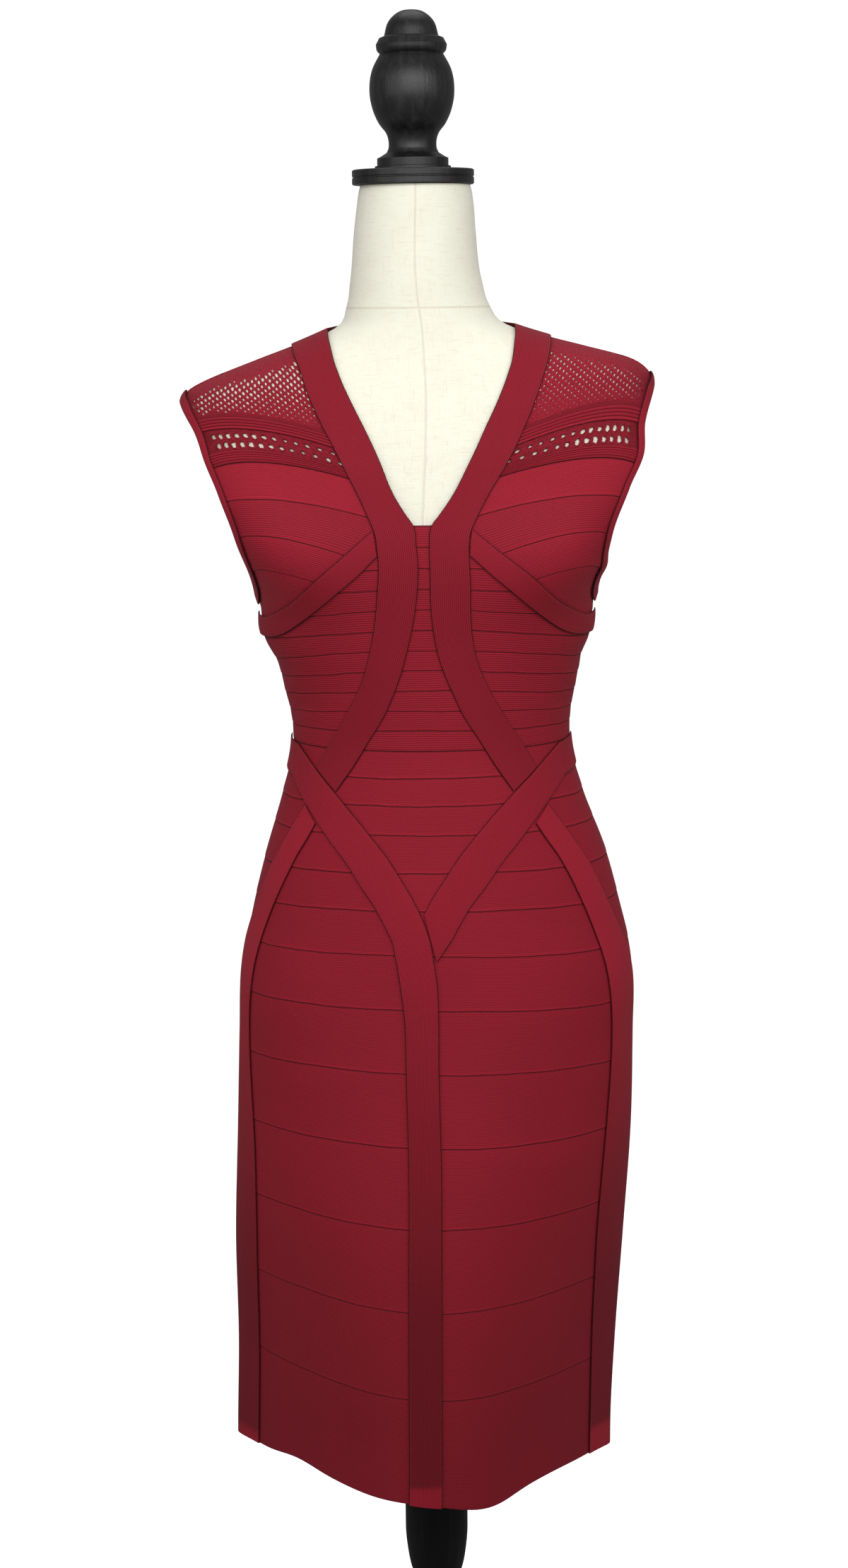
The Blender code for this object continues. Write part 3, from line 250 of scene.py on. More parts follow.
def skin(turn, height, swellings):
    """The figure's surface. turn is in degrees: 0 in front, 90 at +x, 180 behind."""
    turn, height = np.broadcast_arrays(np.asarray(turn, float), np.asarray(height, float))
    width, shift, front, back, square, twist = np.moveaxis(blend(LEVELS, height), -1, 0)
    angle = np.radians(turn + twist)
    boxy = np.maximum(square, 0.0)
    depth = np.where(np.cos(angle) > 0, front, back)
    x = width * (np.sin(angle) + boxy * np.sin(3 * angle)) / (1 - boxy)
    y = -depth * (np.cos(angle) - square * np.cos(3 * angle)) / (1 - square)
    rise = swell(turn, height, swellings)
    x = x + rise * SIDEWAYS * np.sin(np.radians(turn))
    y = y - rise * np.cos(np.radians(turn))
    z = height + x * blend(SHOULDER_TILT, height)[..., 0]
    shift = shift + blend(SHOULDER_LEAN, height)[..., 0] * np.sin(np.radians(turn)) ** 2
    return np.stack([shift + x, y, z], -1)


def moved_out(turn, height, out, swellings):
    """A point of the surface moved out along its normal."""
    across = (skin(turn + SLOPE_TURN, height, swellings)
              - skin(turn - SLOPE_TURN, height, swellings))
    along = (skin(turn, height + SLOPE_HEIGHT, swellings)
             - skin(turn, height - SLOPE_HEIGHT, swellings))
    normal = np.cross(across, along)
    normal /= np.linalg.norm(normal, axis=-1, keepdims=True)
    return skin(turn, height, swellings) + normal * np.asarray(out)[..., None]


def side_width(height):
    """Half of the figure's width at a height."""
    return blend(LEVELS, height)[..., 0]


def armhole_turn(height, spread=0.0):
    """Half of the armhole's width at a height, in degrees."""
    share = (np.asarray(height, float) - ARMHOLE_HEIGHT) / (ARMHOLE_RISE + spread)
    half = ARMHOLE_TURN + np.degrees(spread / side_width(height))
    return half * np.sqrt(np.clip(1 - share * share, 0.0, 1.0))


def form_points(turn, height):
    """The form's surface: inside the dress's, flat over the armholes, drawn in below."""
    p = moved_out(turn, height, -blend(FORM_EASE, height)[..., 0], MOUNDS)
    half = armhole_turn(height)
    lean = blend(SHOULDER_LEAN, height)[..., 0] * np.cos(np.radians(half)) ** 2
    shift = blend(LEVELS, height)[..., 1] + lean
    plate = np.abs(skin(90.0 - half, height, MOUNDS)[..., 0] - shift) - FORM_CAP_EASE - FORM_CAP_ROUND
    reach = np.maximum(np.abs(p[..., 0] - shift) - plate, 0.0)
    held = plate + FORM_CAP_ROUND * (1 - np.exp(-reach / FORM_CAP_ROUND))
    flat = (half > 0) & (reach > 0)
    p[..., 0] = np.where(flat, shift + np.sign(p[..., 0] - shift) * held, p[..., 0])
    low = height < FOOT_HEIGHT
    fall = np.where(low, (FOOT_HEIGHT - height) / (FOOT_HEIGHT - FORM_BOTTOM), 0.0)
    edge = np.maximum(0.0, fall - (1 - FOOT_EDGE)) ** 2 / FOOT_EDGE ** 2
    shrink = 1 - FOOT_IN * fall ** 2 - FOOT_EDGE_IN * edge
    p[..., 0] = shift + (p[..., 0] - shift) * shrink
    p[..., 1] *= shrink
    p[..., 2] = np.where(low, height, p[..., 2])
    return p


def calc(tree, operation, *values, clamp=False):
    node = add(tree, "ShaderNodeMath", enumerate(values), operation=operation, use_clamp=clamp)
    return node.outputs[0]


def ramp(tree, value, low, high, bottom=0.0, top=1.0):
    """bottom where value is low, top where it is high, smooth between."""
    node = add(tree, "ShaderNodeMapRange", {"Value": value, "From Min": low, "From Max": high,
                                            "To Min": bottom, "To Max": top},
               interpolation_type="SMOOTHSTEP")
    return node.outputs["Result"]


def mix(tree, factor, a, b, blend_type="MIX"):
    node = add(tree, "ShaderNodeMix", {0: factor, 6: a, 7: b}, data_type="RGBA", blend_type=blend_type)
    return node.outputs[2]


def noise(tree, vector, scale, detail=2.0, roughness=0.5, stretch=(1.0, 1.0, 1.0)):
    moved = add(tree, "ShaderNodeMapping", {"Vector": vector, "Scale": stretch})
    return add(tree, "ShaderNodeTexNoise", {
        "Vector": moved.outputs[0], "Scale": scale, "Detail": detail,
        "Roughness": roughness}).outputs["Fac"]


def new_material(name, roughness, sheen=0.0, sheen_tint=WHITE):
    """A material, its nodes and its surface shader."""
    material = bpy.data.materials.new(name)
    material.use_nodes = True
    surface = material.node_tree.nodes["Principled BSDF"]
    surface.inputs["Roughness"].default_value = roughness
    surface.inputs["Sheen Weight"].default_value = sheen
    surface.inputs["Sheen Tint"].default_value = sheen_tint
    return material, material.node_tree, surface


def bumped(tree, height, strength, distance, surface):
    bump = add(tree, "ShaderNodeBump", {"Height": height, "Strength": strength, "Distance": distance})
    tree.links.new(bump.outputs["Normal"], surface.inputs["Normal"])


def piece(name, mesh, material):
    """An object at the origin that stands for a CAD node, attached to the root."""
    mesh.materials.clear()
    mesh.materials.append(material)
    thing = new_thing(name, mesh)
    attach(thing, "root")
    return thing


def smoothed(mesh, corner):
    """Smooth shading, except over edges that turn by more than corner degrees."""
    mesh.shade_smooth()
    mesh.set_sharp_from_angle(angle=math.radians(corner))


def uv_map(mesh, name, pairs):
    layer = mesh.uv_layers.new(name=name)
    layer.data.foreach_set("uv", pairs.astype(np.float32).ravel())


def linen_cloth():
    """Cream linen: a fine plain weave with short tan and grey slubs both ways."""
    material, tree, surface = new_material("linen", 0.92, 0.15)
    uv = add(tree, "ShaderNodeUVMap", uv_map="UVMap").outputs["UV"]
    part = add(tree, "ShaderNodeSeparateXYZ", {0: uv})
    along, up = part.outputs[0], part.outputs[1]
    warp = calc(tree, "SINE", calc(tree, "MULTIPLY", along, 2 * math.pi / WARP))
    weft = calc(tree, "SINE", calc(tree, "MULTIPLY", up, 2 * math.pi / WEFT))
    weave = calc(tree, "MULTIPLY", warp, weft)
    level = noise(tree, uv, 1.0, 3.0, 0.6, (62.0, 1500.0, 1.0))
    upright = noise(tree, uv, 1.0, 3.0, 0.6, (1500.0, 52.0, 1.0))
    slub = calc(tree, "MAXIMUM", ramp(tree, level, 0.57, 0.68), ramp(tree, upright, 0.58, 0.69))
    patches = noise(tree, uv, 30.0, 3.0)
    cloudy = mix(tree, patches, LINEN_SHADE, LINEN_LIGHT)
    flecked = mix(tree, calc(tree, "MULTIPLY", slub, 0.38), cloudy, LINEN_SLUB)
    thread = calc(tree, "MULTIPLY_ADD", weave, 0.035, 0.98)
    shaded = mix(tree, 1.0, flecked, thread, "MULTIPLY")
    front = ramp(tree, calc(tree, "ABSOLUTE", along), 0.0003, 0.0011, 1.0, 0.0)
    neck = calc(tree, "ABSOLUTE", calc(tree, "SUBTRACT", up, NECK_SEAM_HEIGHT))
    seam = calc(tree, "MAXIMUM", front, ramp(tree, neck, 0.0003, 0.0012, 1.0, 0.0))
    final = mix(tree, calc(tree, "MULTIPLY", seam, 0.30), shaded, LINEN_SEAM)
    tree.links.new(final, surface.inputs["Base Color"])
    raised = calc(tree, "MULTIPLY_ADD", slub, 0.35, calc(tree, "MULTIPLY", weave, 0.5))
    bumped(tree, calc(tree, "MULTIPLY_ADD", seam, -2.5, raised), 0.5, 0.0003, surface)
    return material


def cells(grid):
    """The four corners of each cell of a grid, going round it."""
    return np.stack([grid[:-1, :-1], grid[:-1, 1:], grid[1:, 1:], grid[1:, :-1]], 2)


def form_mesh():
    """The form's cover, closed at both ends. Its texture is parted down the back."""
    heights = FORM_BOTTOM + (FORM_TOP - FORM_BOTTOM) * np.linspace(0.0, 1.0, FORM_ROWS)
    heights = np.concatenate([FORM_BOTTOM + np.array(FOOT_ROWS), heights[1:]])
    turns = -180.0 + 360.0 * np.arange(FORM_COLUMNS + 1) / FORM_COLUMNS
    points = form_points(turns[None, :-1], heights[:, None])
    count = FORM_COLUMNS
    index = np.arange(len(heights) * count).reshape(-1, count)
    index = np.concatenate([index, index[:, :1]], 1)
    mesh = bpy.data.meshes.new("form_body_cover")
    caps = [index[0, :-1][::-1].tolist(), index[-1, :-1].tolist()]
    mesh.from_pydata(points.reshape(-1, 3).tolist(), [], cells(index).reshape(-1, 4).tolist() + caps)
    radius = np.maximum(side_width(heights), 0.05)
    u = np.radians(turns)[None, :] * radius[:, None]
    v = np.repeat(heights[:, None], count + 1, 1)
    spots = np.stack([u, v], -1)
    quads = cells(spots).reshape(-1, 2)
    ends = np.array([p[:2] for cap in caps for p in points.reshape(-1, 3)[cap]])
    uv_map(mesh, "UVMap", np.concatenate([quads, ends]))
    smoothed(mesh, 50)
    return mesh


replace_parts(piece("form_body_cover", form_mesh(), linen_cloth()), "form_body")


# --- Finial, neck plate and stand -----------------------------------------------------
# The finial is turned from wood, with a ball, a waist and a stepped foot, and screwed
# down through the neck plate. The stem, pole and base are turned to match. All of them
# are brushed with satin black paint that lets the grain show.
FINIAL_X = -0.0027
STAND_X = 0.0030
TURNED_STEPS = 112
SHARP_CORNER = math.radians(32)
MERGE = 0.00001
PAINT_BLACK = (0.0040, 0.0040, 0.0044, 1.0)
PAINT_DUSTY = (0.020, 0.019, 0.019, 1.0)
# radius, height
FINIAL = (
    (0.0000, 1.6110), (0.0080, 1.6098), (0.0145, 1.6058), (0.0190, 1.6000),
    (0.0216, 1.5905), (0.0255, 1.5890), (0.0282, 1.5840),
    (0.0275, 1.5795), (0.0252, 1.5768), (0.0306, 1.5670),
    (0.0330, 1.5590), (0.0338, 1.5508), (0.0333, 1.5420), (0.0306, 1.5315),
    (0.0262, 1.5225), (0.0214, 1.5164), (0.0194, 1.5110), (0.0192, 1.5045),
    (0.0208, 1.5006), (0.0258, 1.4975), (0.0285, 1.4962), (0.0285, 1.4905),
    (0.0304, 1.4900), (0.0304, 1.4877), (0.0000, 1.4877),
)
NECK_PLATE = (
    (0.0000, 1.4874), (0.0478, 1.4874), (0.0488, 1.4866), (0.0488, 1.4824),
    (0.0482, 1.4818), (0.0482, 1.4811), (0.0488, 1.4805), (0.0488, 1.4764),
    (0.0480, 1.4756), (0.0000, 1.4756),
)
STEM = (
    (0.0000, 0.6996), (0.0620, 0.6996), (0.0640, 0.6970), (0.0640, 0.6900),
    (0.0600, 0.6860), (0.0400, 0.6820), (0.0300, 0.6740), (0.0272, 0.6600),
    (0.0272, 0.3280), (0.0262, 0.3120), (0.0235, 0.2940), (0.0195, 0.2800),
    (0.0175, 0.2720), (0.0190, 0.2660), (0.0225, 0.2620), (0.0225, 0.2560),
    (0.0180, 0.2520), (0.0000, 0.2520),
)
POLE = ((0.0, 0.2517), (0.0125, 0.2517), (0.0125, 0.0423), (0.0, 0.0423))
BASE = (
    (0.0000, 0.0420), (0.0220, 0.0420), (0.0260, 0.0400), (0.0290, 0.0340),
    (0.0380, 0.0290), (0.0700, 0.0262), (0.1450, 0.0225), (0.1660, 0.0200),
    (0.1740, 0.0150), (0.1750, 0.0080), (0.1740, 0.0000), (0.0000, 0.0000),
)


def eased(outline):
    """The outline with points added on a smooth curve, except at its sharp corners."""
    points = [Vector((r, z)) for r, z in outline]
    ways = []
    for i, p in enumerate(points):
        before = p - points[i - 1] if i else points[1] - p
        after = points[i + 1] - p if i + 1 < len(points) else before
        corner = before.angle(after, 0.0) > SHARP_CORNER
        ways.append((before, after) if corner else (before + after,) * 2)
    rounded = []
    for i, (a, b) in enumerate(zip(points, points[1:])):
        length = (b - a).length
        leave, arrive = ways[i][1].normalized() * length, ways[i + 1][0].normalized() * length
        for t in (0.0, 0.25, 0.5, 0.75):
            rounded.append(a * (1 + 2 * t) * (1 - t) ** 2 + b * t * t * (3 - 2 * t)
                           + leave * t * (1 - t) ** 2 + arrive * t * t * (t - 1))
    return [(max(p.x, 0.0), p.y) for p in rounded + [points[-1]]]


def applied(thing):
    """The mesh that an object's modifiers make. The object itself is removed."""
    seen = thing.evaluated_get(bpy.context.evaluated_depsgraph_get())
    mesh = bpy.data.meshes.new_from_object(seen)
    bpy.data.objects.remove(thing)
    return mesh


def turned(name, outline, x, node, material):
    """An outline of radius and height, turned round an upright line at x."""
    profile = bpy.data.meshes.new(name)
    ring = [(radius, 0.0, height) for radius, height in outline]
    profile.from_pydata(ring, [(i, i + 1) for i in range(len(ring) - 1)], [])
    rough = new_thing(name + "_blank", profile)
    screw = rough.modifiers.new("turn", "SCREW")
    screw.axis = "Z"
    screw.steps = screw.render_steps = TURNED_STEPS
    screw.use_merge_vertices = True
    screw.merge_threshold = MERGE
    screw.use_smooth_shade = True
    mesh = applied(rough)
    shell = bmesh.new()
    shell.from_mesh(mesh)
    bmesh.ops.remove_doubles(shell, verts=shell.verts, dist=MERGE)
    bmesh.ops.translate(shell, verts=shell.verts, vec=(x, 0.0, 0.0))
    bmesh.ops.recalc_face_normals(shell, faces=shell.faces)
    shell.to_mesh(mesh)
    shell.free()
    mesh.name = name
    smoothed(mesh, 34)
    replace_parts(piece(name, mesh, material), node)


def black_paint(name, grain_scale, roughness, gloss):
    """Black paint over turned wood, rubbed thin on the grain's ridges."""
    material, tree, surface = new_material(name, roughness)
    surface.inputs["Specular IOR Level"].default_value = gloss
    place = add(tree, "ShaderNodeTexCoord").outputs["Object"]
    grain = noise(tree, place, grain_scale, 5.0, 0.65, (1.0, 1.0, 0.055))
    fine = noise(tree, place, grain_scale * 4.0, 3.0, 0.6, (1.0, 1.0, 0.10))
    worn = ramp(tree, grain, 0.42, 0.75)
    dusty = mix(tree, calc(tree, "MULTIPLY", worn, 0.55), PAINT_BLACK, PAINT_DUSTY)
    tree.links.new(dusty, surface.inputs["Base Color"])
    matt = calc(tree, "MULTIPLY_ADD", grain, 0.30, roughness - 0.13)
    tree.links.new(matt, surface.inputs["Roughness"])
    bumped(tree, calc(tree, "ADD", grain, calc(tree, "MULTIPLY", fine, 0.5)), 0.55, 0.0006, surface)
    return material


satin_paint = black_paint("satin_black_paint", 210.0, 0.38, 0.42)
dull_paint = black_paint("dull_black_paint", 160.0, 0.60, 0.16)
turned("finial_turned", eased(FINIAL), FINIAL_X, "finial", satin_paint)
turned("neck_plate_turned", NECK_PLATE, FINIAL_X, "neck_plate", satin_paint)
turned("stand_stem_turned", eased(STEM), STAND_X, "stand_stem", dull_paint)
turned("stand_pole_turned", POLE, STAND_X, "stand_pole", dull_paint)
turned("stand_base_turned", eased(BASE), STAND_X, "stand_base", dull_paint)


# --- Front skirt and bodice -----------------------------------------------------------
# Strips of thick stretch knit, ribbed along their length, lie one above the other. The
# lower edge of each is lapped over the one below and sewn through, so a seam is a dark
# line with a lip above it. The strips are pulled tight, wider towards the hem.
CLOTH = 0.0012            # wall of a strip
LAP = 0.0004              # how far its lower edge stands proud
LIP_ROUND = 0.0006        # distances over which the lip rounds and fades, and over which
LIP_FADE = 0.0060         # a strip starts to swell above its lower and below its upper seam
SWELL_LOW = 0.0030
SWELL_HIGH = 0.0026
GAP = 0.0003
SEAM_HALF = 0.00003       # half the slit between two panels at the side and back seams
BODICE_PUFF = 0.00040     # how far a strip swells between its seams
SKIRT_PUFF = 0.00022
SEAM_WANDER = 0.0005
STRIP_STEP = 0.0055       # spacing of the mesh across a strip, between its sewn edges
EDGE_PLACES = (0.0, 0.0006, 0.0020)
EDGE_ZONE = 0.0045
HEM_HEIGHT = 0.4105
WAIST_HEIGHT = 1.0312
SKIRT_STRIPS = (0.0900, 0.0740, 0.0690, 0.0670, 0.0610, 0.0520, 0.0440,
                0.0360, 0.0302, 0.0300, 0.0235, 0.0220, 0.0220)
BODICE_STRIP = 0.01647
FRONT_STRIPS = 11
FRONT_MIDDLE_TURN = 9.6
UNDER_NECK_BAND = (0.0405, 1.2025)
FRONT_COLUMNS = 140
# how far a cross seam sinks at the side: height, drop
DROOPS = ((0.40, 0.000), (0.66, 0.001), (0.78, 0.006), (0.88, 0.006), (1.00, 0.002),
          (1.035, 0.002), (1.07, 0.009), (1.12, 0.015), (1.18, 0.010), (1.26, 0.000),
          (1.36, 0.000))
# the skirt sinks at the right side and rises at the left: from height, reach, amount
LEAN = ((0.93, 0.10, 0.0045), (0.60, 0.10, 0.0030))
HEM_WAVES = ((-41.0, 12.0, 0.0060), (20.0, 13.0, -0.0100))  # turn, half turn, rise
HEM_WAVE_HIGH = 0.11
# upper edge x, upper edge height, lower edge x, lower edge height
UNDERBUST_BAND = (
    (0.0384, 1.2090, 0.0360, 1.1890),
    (0.0560, 1.1940, 0.0500, 1.1755),
    (0.0770, 1.1752, 0.0695, 1.1580),
    (0.0970, 1.1550, 0.0910, 1.1385),
    (0.1210, 1.1380, 0.1110, 1.1235),
)
UNDERBUST_SIDE = (1.1350, 1.1170)
# turn, height, half turn, half height, rise, slant
FOLDS = MOUNDS + (
    (-88.0, 1.124, 20.0, 0.0110, 0.0022, 0.0),     # cloth pushed up under the arm
    (-86.0, 1.098, 20.0, 0.0110, -0.0016, 0.0),
    (88.0, 1.128, 20.0, 0.0120, 0.0022, 0.0),
    (90.0, 1.100, 22.0, 0.0110, -0.0018, 0.0),
    (72.0, 1.178, 22.0, 0.0075, 0.0060, 0.0),      # the armhole's edge puckers
    (-118.0, 1.082, 22.0, 0.0120, 0.0020, 0.0),    # hollow of the back
    (124.0, 1.070, 24.0, 0.0120, 0.0020, 0.0),
    (-128.0, 1.046, 22.0, 0.0120, -0.0016, 0.0),
    (118.0, 1.040, 20.0, 0.0120, -0.0015, 0.0),
    (86.0, 0.868, 9.0, 0.0200, 0.0016, 0.0),       # hip
    (-24.0, 0.440, 8.0, 0.0500, -0.0030, 0.0),     # dents that run up from the hem
    (30.0, 0.430, 8.0, 0.0550, -0.0034, 0.0),
    (-52.0, 0.440, 9.0, 0.0700, 0.0024, 0.0),
    (54.0, 0.450, 9.0, 0.0600, 0.0022, 0.0),
    (150.0, 0.450, 10.0, 0.0700, -0.0028, 0.0),
    (-140.0, 0.440, 9.0, 0.0600, -0.0026, 0.0),
    (-70.0, 1.076, 16.0, 0.0060, 0.0016, 0.0006),  # short drag lines at the waist
    (-64.0, 1.060, 14.0, 0.0050, -0.0012, 0.0006),
    (72.0, 1.082, 15.0, 0.0060, 0.0014, -0.0007),
    (66.0, 1.064, 14.0, 0.0050, -0.0012, -0.0006),
    (-110.0, 1.060, 18.0, 0.0060, 0.0013, -0.0004),
    (112.0, 1.052, 18.0, 0.0060, 0.0013, 0.0004),
    (-60.0, 1.214, 6.0, 0.0340, -0.0018, 0.0),     # cloth that stands off by the arms
    (-69.0, 1.200, 5.0, 0.0300, 0.0014, 0.0),
    (60.0, 1.212, 6.0, 0.0320, -0.0012, 0.0),
    (114.0, 1.215, 8.0, 0.0340, -0.0012, 0.0),
    (-116.0, 1.220, 8.0, 0.0360, -0.0012, 0.0),
    (-44.0, 0.900, 16.0, 0.0080, -0.0007, 0.0009), # pull towards the hips
    (40.0, 0.888, 15.0, 0.0080, -0.0007, -0.0010),
    (-30.0, 0.760, 18.0, 0.0100, 0.0006, 0.0006),
    (34.0, 0.690, 18.0, 0.0120, 0.0006, -0.0006),
    (140.0, 0.905, 16.0, 0.0080, 0.0009, 0.0008),  # under the hollow of the back
    (-138.0, 0.915, 16.0, 0.0080, 0.0009, -0.0008),
    (164.0, 0.700, 12.0, 0.0300, -0.0012, 0.0),
    (-166.0, 0.660, 12.0, 0.0300, -0.0012, 0.0),
)
WINE_DEEP = (0.070, 0.0020, 0.0050, 1.0)
WINE_THREAD = (0.330, 0.0120, 0.0270, 1.0)
WINE_SHEEN = (0.95, 0.35, 0.42, 1.0)
SEAM_SHADOW = (0.022, 0.0010, 0.0022, 1.0)
SKIRT_PAINTED_SHADE = 0.18        # painted shade: how much darker the skirt is painted at its hem, and from what height
PAINTED_SHADE_HEIGHT = 0.70
PAINTED_SHADE_REACH = 0.22
RIB_DRIFT = 0.34          # how far the ribs wander, as a share of a rib
RIB_SLANT = 0.7           # how far the stitches slant over a rib, as a share of a stitch
NEEDLE_PULL = 0.14        # how a seam's dark line widens at each stitch
LINE_LEAST = 0.45         # its least width, and how much more it has in places
LINE_MORE = 1.1
LIP_AT = 0.0014           # where the painted highlight falls on the lip over a seam
MEAN_LIGHT = 0.71         # brightness of the knit, whatever the depth of its ribs
MEAN_CREST = 0.72
NO_EDGE = 9.0             # further from a sewn edge than its marks reach
ROW_KEYS = ("turn", "height", "out", "across", "below", "above", "tone")


def on_dress(turn, height, out):
    return moved_out(turn, height, out, FOLDS)


def side_turn(height):
    """The turn at which the front ends, beside the side seam."""
    return 90.0 - np.degrees(SEAM_HALF / side_width(height))


def turn_at(x, height):
    """The turn at which the front lies a distance x from centre front."""
    x, height = np.broadcast_arrays(np.asarray(x, float), np.asarray(height, float))
    row = blend(LEVELS, height)
    width, boxy = row[..., 0], np.maximum(row[..., 4], 0.0)
    low, high = np.zeros(x.shape), np.full(x.shape, 90.0)
    for _ in range(34):
        middle = (low + high) / 2
        angle = np.radians(middle)
        short = width * (np.sin(angle) + boxy * np.sin(3 * angle)) / (1 - boxy) < np.abs(x)
        low, high = np.where(short, middle, low), np.where(short, high, middle)
    return np.copysign(np.where(np.abs(x) >= width, side_turn(height), low), x)


def underbust_line(turn):
    """Height of the under-bust band's middle over the front."""
    top_x, top, bottom_x, bottom = np.array(UNDERBUST_BAND).T
    middle = (top + bottom) / 2
    rows = [(turn_at(x, h), h) for x, h in zip((top_x + bottom_x) / 2, middle)]
    return blend(rows + [(90.0, sum(UNDERBUST_SIDE) / 2)], np.abs(turn))[..., 0]


def lengths_along(points):
    """Distance from the first point, along the last but one axis."""
    steps = np.linalg.norm(np.diff(points, axis=-2), axis=-1)
    return np.concatenate([np.zeros(steps.shape[:-1] + (1,)), np.cumsum(steps, -1)], -1)


def strip_places(width):
    """Distances across a strip, closer together at its sewn edges."""
    count = max(3, round((width - 0.010) / STRIP_STEP))
    inner = np.linspace(EDGE_ZONE, width - EDGE_ZONE, count + 1)
    return np.concatenate([EDGE_PLACES, inner, width - np.array(EDGE_PLACES[::-1])])


def strip_out(below, above, puff):
    """A strip's outer face: a lip at its lower edge, a swell, and thin at the top."""
    lip = LAP * (0.55 + 0.60 * (1 - np.exp(-below / LIP_ROUND))) * np.exp(-below / LIP_FADE)
    swell_out = puff * (1 - np.exp(-below / SWELL_LOW)) * (1 - np.exp(-above / SWELL_HIGH))
    return CLOTH + lip + swell_out


def wander(turn, seam):
    """A sewn seam's slight waviness."""
    t = np.radians(turn)
    waves = (np.sin(5 * t + 2.1 * seam) + 0.6 * np.sin(13 * t + 1.7 * seam)
             + 0.4 * np.sin(29 * t + seam))
    return SEAM_WANDER * waves / 2


def askew(turn, height):
    """A height on the skirt after the pull and the waves of its hem."""
    lean = 0.0
    for start, reach, most in LEAN:
        share = np.clip((start - height) / reach, 0.0, 1.0)
        lean = lean + most * share * share * (3 - 2 * share)
    fade = np.maximum((HEM_HEIGHT + HEM_WAVE_HIGH - height) / HEM_WAVE_HIGH, 0.0) ** 2
    wave = sum(rise * np.exp(-((turn - at) / half) ** 2) for at, half, rise in HEM_WAVES)
    return height - lean * np.sin(np.radians(turn)) + fade * wave


def stacked(rows):
    """A panel's points. Each row has a number or a list of them for each of ROW_KEYS: its
    turns, heights, how far it stands out, its place across the knit, its distances to
    the edges below and above it, and its brightness."""
    rows = [np.broadcast_arrays(*row) for row in rows]
    return {key: np.array(values) for key, values in zip(ROW_KEYS, zip(*rows))}


def strip_rows(bottom, widths, turns_of, puff):
    """A panel of lapped strips. turns_of(height) gives the turns of a row."""
    rows, low = [], bottom
    for k, width in enumerate(widths):
        first, last = k == 0, k == len(widths) - 1
        for place in strip_places(width):
            base = low + place
            turns = turns_of(base)
            sink = blend(DROOPS, base)[0] * np.sin(np.radians(turns)) ** 2
            share = place / width
            wave = 0.0 if first else (1 - share) * wander(turns, k)
            wave = wave + (0.0 if last else share * wander(turns, k + 1))
            height = askew(turns, base) - sink + wave
            below = NO_EDGE if first and share < 0.5 else place
            # painted shade: the skirt is painted darker towards its hem
            tone = 1.0 - SKIRT_PAINTED_SHADE * np.clip((PAINTED_SHADE_HEIGHT - height) / PAINTED_SHADE_REACH, 0.0, 1.0)
            rows.append((turns, height, strip_out(place, width - place, puff), base, below,
                         width - place, tone))
        low += width
    return stacked(rows)


def grid_faces(shape, keep=None):
    """The faces of rows of points, or those of them to keep."""
    faces = cells(np.arange(shape[0] * shape[1]).reshape(shape))
    return faces.reshape(-1, 4) if keep is None else faces[keep]


def cloth(name, node, material, spots, inside=0.0, faces=None, closed=False):
    """A closed wall of cloth that stands for a CAD node. spots has the keys that stacked()
    gives, and may have the place along the knit; inside is how far out its inner face
    lies; faces are rows of points, or None for a grid; closed joins the last column to
    the first."""
    turns, heights = spots["turn"], spots["height"]
    outer = on_dress(turns, heights, spots["out"])
    inner = on_dress(turns, heights, inside).reshape(-1, 3)
    if faces is None:
        faces = grid_faces(turns.shape)
    if "along" not in spots:
        along = lengths_along(outer)
        spots = {**spots, "along": along - along[..., -1:] / 2}
    spots = {key: np.broadcast_to(value, turns.shape) for key, value in spots.items()}
    twin = np.arange(turns.size).reshape(turns.shape)
    if closed:
        twin[:, -1] = twin[:, 0]
    outer, twin, count = outer.reshape(-1, 3), twin.ravel(), turns.size
    a, b, c = (outer[faces[:, i]] for i in range(3))
    if np.einsum("ij,ij->i", np.cross(b - a, c - a), a - inner[faces[:, 0]]).sum() < 0:
        faces = faces[:, ::-1]
    ends = np.stack([faces, np.roll(faces, -1, 1)], -1).reshape(-1, 2)
    ways = twin[ends]
    rim = ends[~np.isin(ways[:, 0] * count + ways[:, 1], ways[:, 1] * count + ways[:, 0])]
    walls = np.stack([rim[:, 1], rim[:, 0], rim[:, 0] + count, rim[:, 1] + count], -1)
    corners = np.concatenate([faces.ravel(), (faces[:, ::-1] + count).ravel(), walls.ravel()])
    used, order = np.unique(np.concatenate([twin, twin + count])[corners], return_inverse=True)
    order = order.ravel().tolist()
    sizes = [faces.shape[1]] * (2 * len(faces)) + [4] * len(walls)
    starts = np.concatenate([[0], np.cumsum(sizes)])
    mesh = bpy.data.meshes.new(name)
    mesh.from_pydata(np.concatenate([outer, inner])[used].tolist(), [],
                     [order[i:j] for i, j in zip(starts, starts[1:])])
    for label, first, second in (("UVMap", "along", "across"), ("Seam", "below", "above")):
        pairs = np.stack([spots[first].ravel(), spots[second].ravel()], -1)
        uv_map(mesh, label, pairs[corners % count])
    tone = mesh.attributes.new("tone", "FLOAT", "POINT")
    tone.data.foreach_set("value", spots["tone"].ravel()[used % count].astype(np.float32))
    smoothed(mesh, 55)
    thing = piece(name, mesh, material)
    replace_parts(thing, node)


def new_group(name, inputs, outputs):
    """A shader node group with number inputs and outputs."""
    tree = bpy.data.node_groups.new(name, "ShaderNodeTree")
    for label, value in inputs:
        socket = tree.interface.new_socket(label, in_out="INPUT", socket_type="NodeSocketFloat")
        socket.default_value = value
    for label in outputs:
        tree.interface.new_socket(label, in_out="OUTPUT", socket_type="NodeSocketFloat")
    return tree, tree.nodes.new("NodeGroupInput").outputs, tree.nodes.new("NodeGroupOutput").inputs


